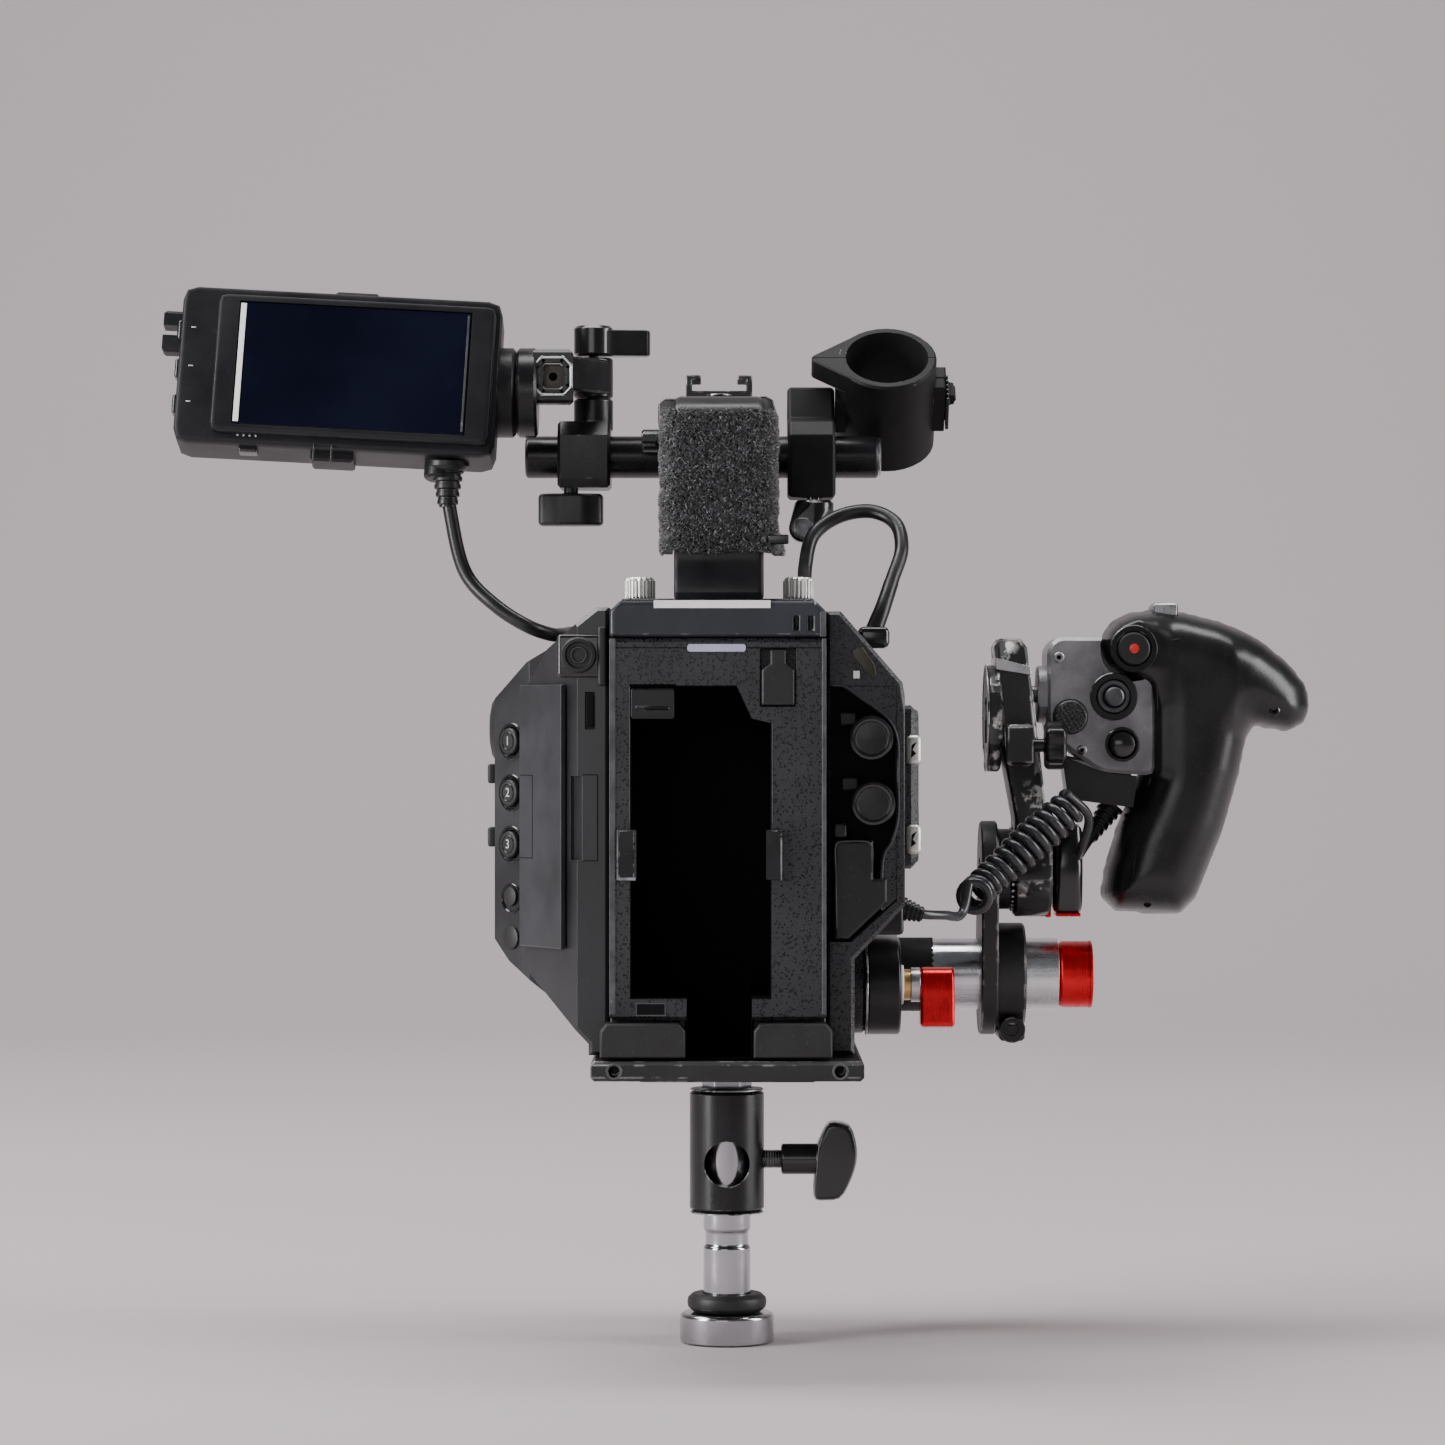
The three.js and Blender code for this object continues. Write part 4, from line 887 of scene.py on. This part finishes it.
ring("stick_bezel", "grip", "gloss_plastic", key_at(STICK, FACE), BACK, 8.3, 5.9, 1.1, sides=64)
ring("stick_dish", "grip", "grey_and_painted_highlight", key_at(STICK, 32.5), BACK, 5.7, 4.0, 1.3, sides=56)
lathe("stick_cap", "joystick", "grey_and_painted_highlight", key_at(STICK, 29.6), BACK,
      [(2.0, 0), (3.3, 1.2), (3.3, 1.9), (2.7, 2.4),
      (1.2, 2.6)], sides=40)
for i in range(7):
    for k in (-1, 1):
        h, long = (i - 3) * 1.45, 2 * math.sqrt(5.2 ** 2 - ((i - 3) * 1.45) ** 2)
        turn = Matrix.Translation(key_at(RELEASE, 29.5)) @ Matrix.Rotation(k * math.pi / 4 + 0.25, 4, "Y")
        turn = turn @ Matrix.Translation((0, 0, h))
        block(f"release_knurl_{i}_{k + 1}", "release_button", "gloss_plastic", (-long / 2, long / 2),
              (-0.25, 0.3),
              (-0.3, 0.3), bevel=0.15, turn=turn)
ring("menu_bezel", "grip", "gloss_plastic", key_at(MENU, FACE), BACK, 6.0, 4.9, 0.8)
lathe("menu_dome", "menu_button", "gloss_plastic", key_at(MENU, 31.1), BACK,
      [(4.4, 0), (4.2, 0.5), (3.2, 1.1),
      (1.4, 1.5), (0.3, 1.6)])
ring("record_bezel", "grip", "black_metal", key_at(RECORD, 29.3), BACK, 8.2, 5.9, 1.6, sides=64)
lathe("record_dot", "rec_button", "red_dot", key_at(RECORD, 27.05), BACK,
      [(1.7, 0), (1.6, 0.25), (0.4, 0.4)], sides=24)
screw("head_screw_upper", "grip", (115.2, 32.1, 232.8), BACK, 1.9)
screw("head_screw_lower", "grip", (123.2, 32.1, 200.6), BACK, 1.7)
def on_grip(x, z, out=0.0):
    return x, 51 - swell(x, z, to_edge(x, z)) + 0.35 - out, z


screw("rest_screw", "grip", on_grip(190.5, 214.4, 0.2), BACK, 1.9, "gloss_plastic")
for i in range(15):
    across = 150.6 + 1.35 * i
    top, foot = 236.5 - 0.035 * (i - 5) ** 2, 186 + 0.9 * i
    heights = [top + (foot - top) * k / 12 for k in range(13)]
    seam(f"palm_rib_{i}", "grip",
         [on_grip(across + 0.9 * math.sin((z - 190) / 18), z, -0.12) for z in heights], 0.42,
         "grip_rubber", 1.6)
seam("rest_seam", "grip",
     [on_grip(x, z) for x, z in ((179, 234), (179.8, 228), (180.4, 221), (183, 216), (187.4, 211.6),
                                                      (193, 211.2), (199.6, 211.4))], 0.32)
seam("palm_seam", "grip",
     [on_grip(x, z) for x, z in ((171.5, 218), (172.6, 226), (172.2, 233), (168, 237.6), (160, 239.2),
                                                      (153, 238), (149.2, 234), (149, 226), (149.6, 212),
                                                      (149, 200),
                                                      (146.6, 187), (142.6, 168), (141, 156), (142.6, 151),
                                                      (150, 149.2),
                                                      (158, 149))], 0.3, "black_plastic")
disc("bottom_hole", "grip", "black_and_painted_shade", on_grip(146.4, 147.2), BACK, 1.4, 0.6, 0.3)
flat("head_lower_cover", "grip", "black_plastic",
     [(116.6, 198.6), (130, 193.2), (142.6, 191.6), (141.4, 180.6), (118.6, 183.6)],
     35.8, 0.8, bevel=0.3)
ribbed("grip_boot", "grip", "cable", (135, 47.5, 181.5), (-0.56, -0.1, -0.82), 4.4, 2.6, 15, 6)
block("lever_shine", "grip", "steel", (149.4, 157.0), (41.4, 42.2), (247.6, 251.4), bevel=0.3)

# sleeve and stand
lathe("stud_thread", "sleeve_knob", "steel", (12.6, 0, 61.8), (1, 0, 0),
      [(3.4 if i % 2 else 2.7, i * 0.45) for i in range(16)], sides=32)
ring("sleeve_top", "stand_top", "worn_steel", (0, 0, 85.4), (0, 0, 1), 12.4, 8.8, 0.5, sides=64)
ring("sleeve_foot", "stand_top", "worn_steel", (0, 0, 43.7), (0, 0, 1), 12.4, 8.8, 0.5, sides=64)
for i, (x, r) in enumerate(((-36, 2.6), (36, 2.6))):
    ring(f"plate_hole_rim_{i}", "camera", "grey_and_painted_highlight", (x, -104.9, 99.2), BACK, r, 1.9, 0.3)

# monitor
POSE = (Matrix.Translation((-135.7, 50, 331)) @ Matrix.Rotation(math.radians(3), 4, "Y")
        @ Matrix.Rotation(math.radians(-13), 4, "X"))


def on_monitor(name, material, x, y, z, bevel=0.3):
    return block(name, "monitor", material, x, y, z, bevel=bevel, turn=POSE)


# a white strip along the screen's left inner edge: a painted highlight
on_monitor("screen_painted_highlight_edge", "label", (-35.0, -33.1), (-12.95, -12.6), (-21.4, 21.6), 0.1)
on_monitor("screen_right_edge", "grey_and_painted_highlight", (44.2, 44.9), (-12.95, -12.6), (-21.0, 21.2), 0.1)
for i, z in enumerate((13, -1, -14)):
    on_monitor(f"side_dial_{i}", "gloss_plastic", (-57.4, -55.4), (-6, 0), (z - 3.5, z + 3.5), 0.8)
    on_monitor(f"dial_mark_{i}", "ink", (-52.2, -50.6), (-9.2, -8.9), (z - 0.2, z + 0.2), 0.05)
for i in range(4):
    on_monitor(f"switch_mark_{i}", "ink", (-33.6 + 2.1 * i, -32.9 + 2.1 * i), (-9.2, -8.9), (-25.6, -25.0),
               0.05)
on_monitor("mirror_switch", "gloss_plastic", (-33, -26.5), (-6, 0), (-30.2, -28), 0.6)
for x in (-0.2, 6.0):
    on_monitor(f"tab_edge_{int(x)}", "gloss_plastic", (x - 6.6, x - 6.0), (-9.6, -8.8), (-34, -27), 0.2)
root = POSE @ Vector((39.5, 2, -28))
toward = (Vector(jack) + Vector((0.4, -0.6, -7)) - root).normalized()
lathe("monitor_boot", "monitor", "cable", root, toward,
      [(7.6, 0), (7.6, 1.6), (6.8, 2.6), (6.2, 3.2), (5.4, 3.4)], sides=40)
ribbed("monitor_relief", "monitor", "cable", root + toward * 2.4, toward, 5.6, 3.6, 13.5, 5)
for name, half, wide, y, finish in (("socket_frame", 6.9, 0.8, 46.8, "bright_steel"),
                                    ("socket_body", 6.2, 1.6, 47.3, "black_metal"),
                                    ("socket_inner", 4.7, 0.5, 48.4, "bright_steel")):
    for k in range(8):
        turn = Matrix.Translation((-61, y, 331.5)) @ Matrix.Rotation(k * math.pi / 4, 4, "Y")
        reach = half * (1.0 if k % 2 == 0 else 1.12)
        long = half * (0.62 if k % 2 == 0 else 0.36)
        block(f"{name}_{k}", "monitor_arm", finish, (-long, long), (-0.5, 0.4), (reach - wide, reach),
              bevel=0.2, turn=turn)

block("socket_back", "monitor_arm", "warm_grey", (-64.2, -57.8), (51.6, 52.8), (326, 337.2), bevel=0.2)
disc("socket_dot", "monitor_arm", "black_and_painted_shade", (-61, 51.7, 331.6), BACK, 1.5, 0.3, 0.1)

# microphone holder: knob end, pin and the ribbed catch
mu, mv, ma = Vector((1, 0, 0)), Vector((0, 0.743, 0.669)), Vector((0, -0.669, 0.743))
MIC = Vector((57.3, 94, 326.3))
for k in range(6):
    c = MIC + mu * 21.6 + mv * (-6.5 + 2.6 * k) - ma * 1
    block(f"catch_rib_{k}", "mic_ring_gate" if k > 2 else "mic_clamp", "gloss_plastic", (-0.3, 0.9),
          (-0.5, 0.5), (-7, 7),
          bevel=0.25, turn=Matrix.Translation(c) @ Matrix((mu, mv, ma)).transposed().to_4x4())
lathe("mic_knob_end", "mic_clamp_knob", "worn_steel", (27, 61.7, 279), BACK,
      [(3.4, 0), (3.4, 0.3), (2.6, 0.6)], sides=32)
lathe("mic_pin", "mic_clamp", "worn_steel", MIC - mu * 27.2 - ma * 15.5, -ma,
      [(1.8, 0), (1.8, 0.6), (1.2, 1.0)], sides=24)

# front of the camera, which the lens mount stands on
FRONT_OUT, LENS = (0, 1, 0), Vector((-3, 0, 178))
for i in range(6):
    t = math.pi / 3 * i + 0.3
    screw(f"mount_screw_{i}", "camera", LENS + Vector((30.4 * math.cos(t), 88.0, 30.4 * math.sin(t))),
          FRONT_OUT, 1.3, "black_metal")
for i, (x, z) in enumerate(((-33, 108), (27, 108), (-33, 232), (27, 232))):
    screw(f"front_screw_{i}", "camera", (x, 80, z), FRONT_OUT, 1.9, "black_metal")
disc("mount_index", "camera", "red_dot", LENS + Vector((0, 88, 31)), FRONT_OUT, 1.1, 0.3, 0.1)
disc("lens_release", "camera", "gloss_plastic", (22, 80, 141), FRONT_OUT, 4.6, 4.0, 1.0)
ring("lens_release_ring", "camera", "black_metal", (22, 80, 141), FRONT_OUT, 6.0, 4.9, 1.4)
ring("throat_ring", "camera", "steel", LENS + Vector((0, 84, 0)), FRONT_OUT, 24.9, 22.6, 3.0, sides=72)
for i in range(7):
    block(f"front_vent_{i}", "camera", "black_and_painted_shade", (-62, -46), (77.8, 78.2), (150 + 7 * i, 153 + 7 * i),
          bevel=0.15)
    block(f"side_vent_{i}", "camera", "black_and_painted_shade", (-78.15, -77.8), (30, 56), (148 + 7 * i, 151 + 7 * i),
          bevel=0.15)
disc("tally_lamp", "camera", "tally", (44, 77.8, 226), FRONT_OUT, 3.0, 1.4, 0.8)

# sound sockets, each with its insert and three pin holes
for key, z in (("upper", 202), ("lower", 175)):
    ring(f"xlr_{key}_rim", "camera", "black_metal", (64.2, 10, z), (1, 0, 0), 12.6, 10.3, 1.0, sides=64)
    disc(f"xlr_{key}_insert", "camera", "black_plastic", (52.4, 10, z), (1, 0, 0), 9.6, 8.6, 0.6)
    for i in range(3):
        t = 2 * math.pi / 3 * i + math.pi / 2
        disc(f"xlr_{key}_pin_{i}", "camera", "black_and_painted_shade",
             (61.0, 10 + 4.6 * math.cos(t), z + 4.6 * math.sin(t)), (1, 0, 0), 1.6,
             0.15, 0.05)

# top: screws and threaded holes
for i, (x, y) in enumerate(((-32, -92), (26, -92), (-32, 72), (26, 72))):
    screw(f"cap_screw_{i}", "camera", (x, y, 249.0), (0, 0, 1), 1.9, "black_metal")
for i, y in enumerate((-30, 44, 60)):
    ring(f"handle_thread_{i}", "camera", "worn_steel", (-2.7, y, 319.2 if y < 0 else 319.9), (0, 0, 1), 4.2,
         3.1, 0.5)
    disc(f"handle_thread_hole_{i}", "camera", "black_and_painted_shade", (-2.7, y, 319.3 if y < 0 else 319.95), (0, 0, 1),
         3.1, 0.25, 0.1)

# back of the monitor
for i, (x, z) in enumerate(((-50, -22), (50, -22), (-50, 22), (50, 22))):
    screw(f"monitor_screw_{i}", "monitor", POSE @ Vector((x, 13, z)), POSE.to_3x3() @ Vector((0, 1, 0)),
          1.5, "black_metal")
for i in range(6):
    on_monitor(f"monitor_vent_{i}", "black_and_painted_shade", (-20, 20), (12.8, 13.12), (-9 + 3.6 * i, -7.4 + 3.6 * i),
               0.1)
on_monitor("monitor_plate", "satin_grey", (-44, -28), (12.8, 13.3), (-14, -4), 0.3)

# ---- stage, light and camera -------------------------------------------------------

def stage():
    """A floor that sweeps up into a backdrop, both plain."""
    m = bpy.data.materials.new("paper")
    m.use_nodes = True
    m.node_tree.nodes["Principled BSDF"].inputs["Base Color"].default_value = (0.455, 0.402, 0.414, 1)
    m.node_tree.nodes["Principled BSDF"].inputs["Roughness"].default_value = 0.9
    profile = [(-4.0, 0.0), (1.6, 0.0)]
    profile += [(1.6 + 1.2 * math.sin(a * math.pi / 24),
                 1.2 - 1.2 * math.cos(a * math.pi / 24)) for a in range(1, 13)]
    profile += [(2.8, 4.5)]
    points = [(x, y, z - 0.0004) for y, z in profile for x in (-5, 5)]
    faces = [(2 * i, 2 * i + 1, 2 * i + 3, 2 * i + 2) for i in range(len(profile) - 1)]
    mesh = bpy.data.meshes.new("backdrop")
    mesh.from_pydata(points, [], faces)
    mesh.polygons.foreach_set("use_smooth", [True] * len(mesh.polygons))
    mesh.materials.append(m)
    o = bpy.data.objects.new("backdrop", mesh)
    bpy.context.scene.collection.objects.link(o)


def light(name, at, target, size, power, colour=(1, 1, 1)):
    data = bpy.data.lights.new(name, "AREA")
    data.shape, data.size, data.size_y, data.energy, data.color = "RECTANGLE", size[0], size[1], power, colour
    o = bpy.data.objects.new(name, data)
    o.location = at
    o.rotation_euler = (Vector(target) - Vector(at)).to_track_quat("-Z", "Y").to_euler()
    bpy.context.scene.collection.objects.link(o)


stage()
light("key", (-1.0, 0.1, 1.6), (0, 0, 0.22), (0.9, 0.9), 22)
light("right", (1.5, -0.25, 0.6), (0, 0, 0.22), (0.6, 1.3), 20)
light("left", (-1.5, -0.75, 0.55), (0, 0, 0.22), (0.5, 1.3), 34)
light("front", (-0.5, -2.2, 0.55), (0, 0, 0.2), (1.2, 0.6), 4.5)
light("backdrop_light", (0, 0.3, 3.2), (0, 2.2, 0.4), (3.4, 1.2), 106)
world = bpy.data.worlds.new("room")
world.use_nodes = True
world.node_tree.nodes["Background"].inputs[0].default_value = (0.86, 0.86, 0.9, 1)
world.node_tree.nodes["Background"].inputs[1].default_value = 0.14
bpy.context.scene.world = world

camera = bpy.data.objects.new("camera", bpy.data.cameras.new("camera"))
camera.data.lens, camera.data.sensor_width = 117.2, 36
camera.location = (-0.0015, -1.6, 0.2102)
camera.rotation_euler = (math.pi / 2, 0, 0)
bpy.context.scene.collection.objects.link(camera)
bpy.context.scene.camera = camera
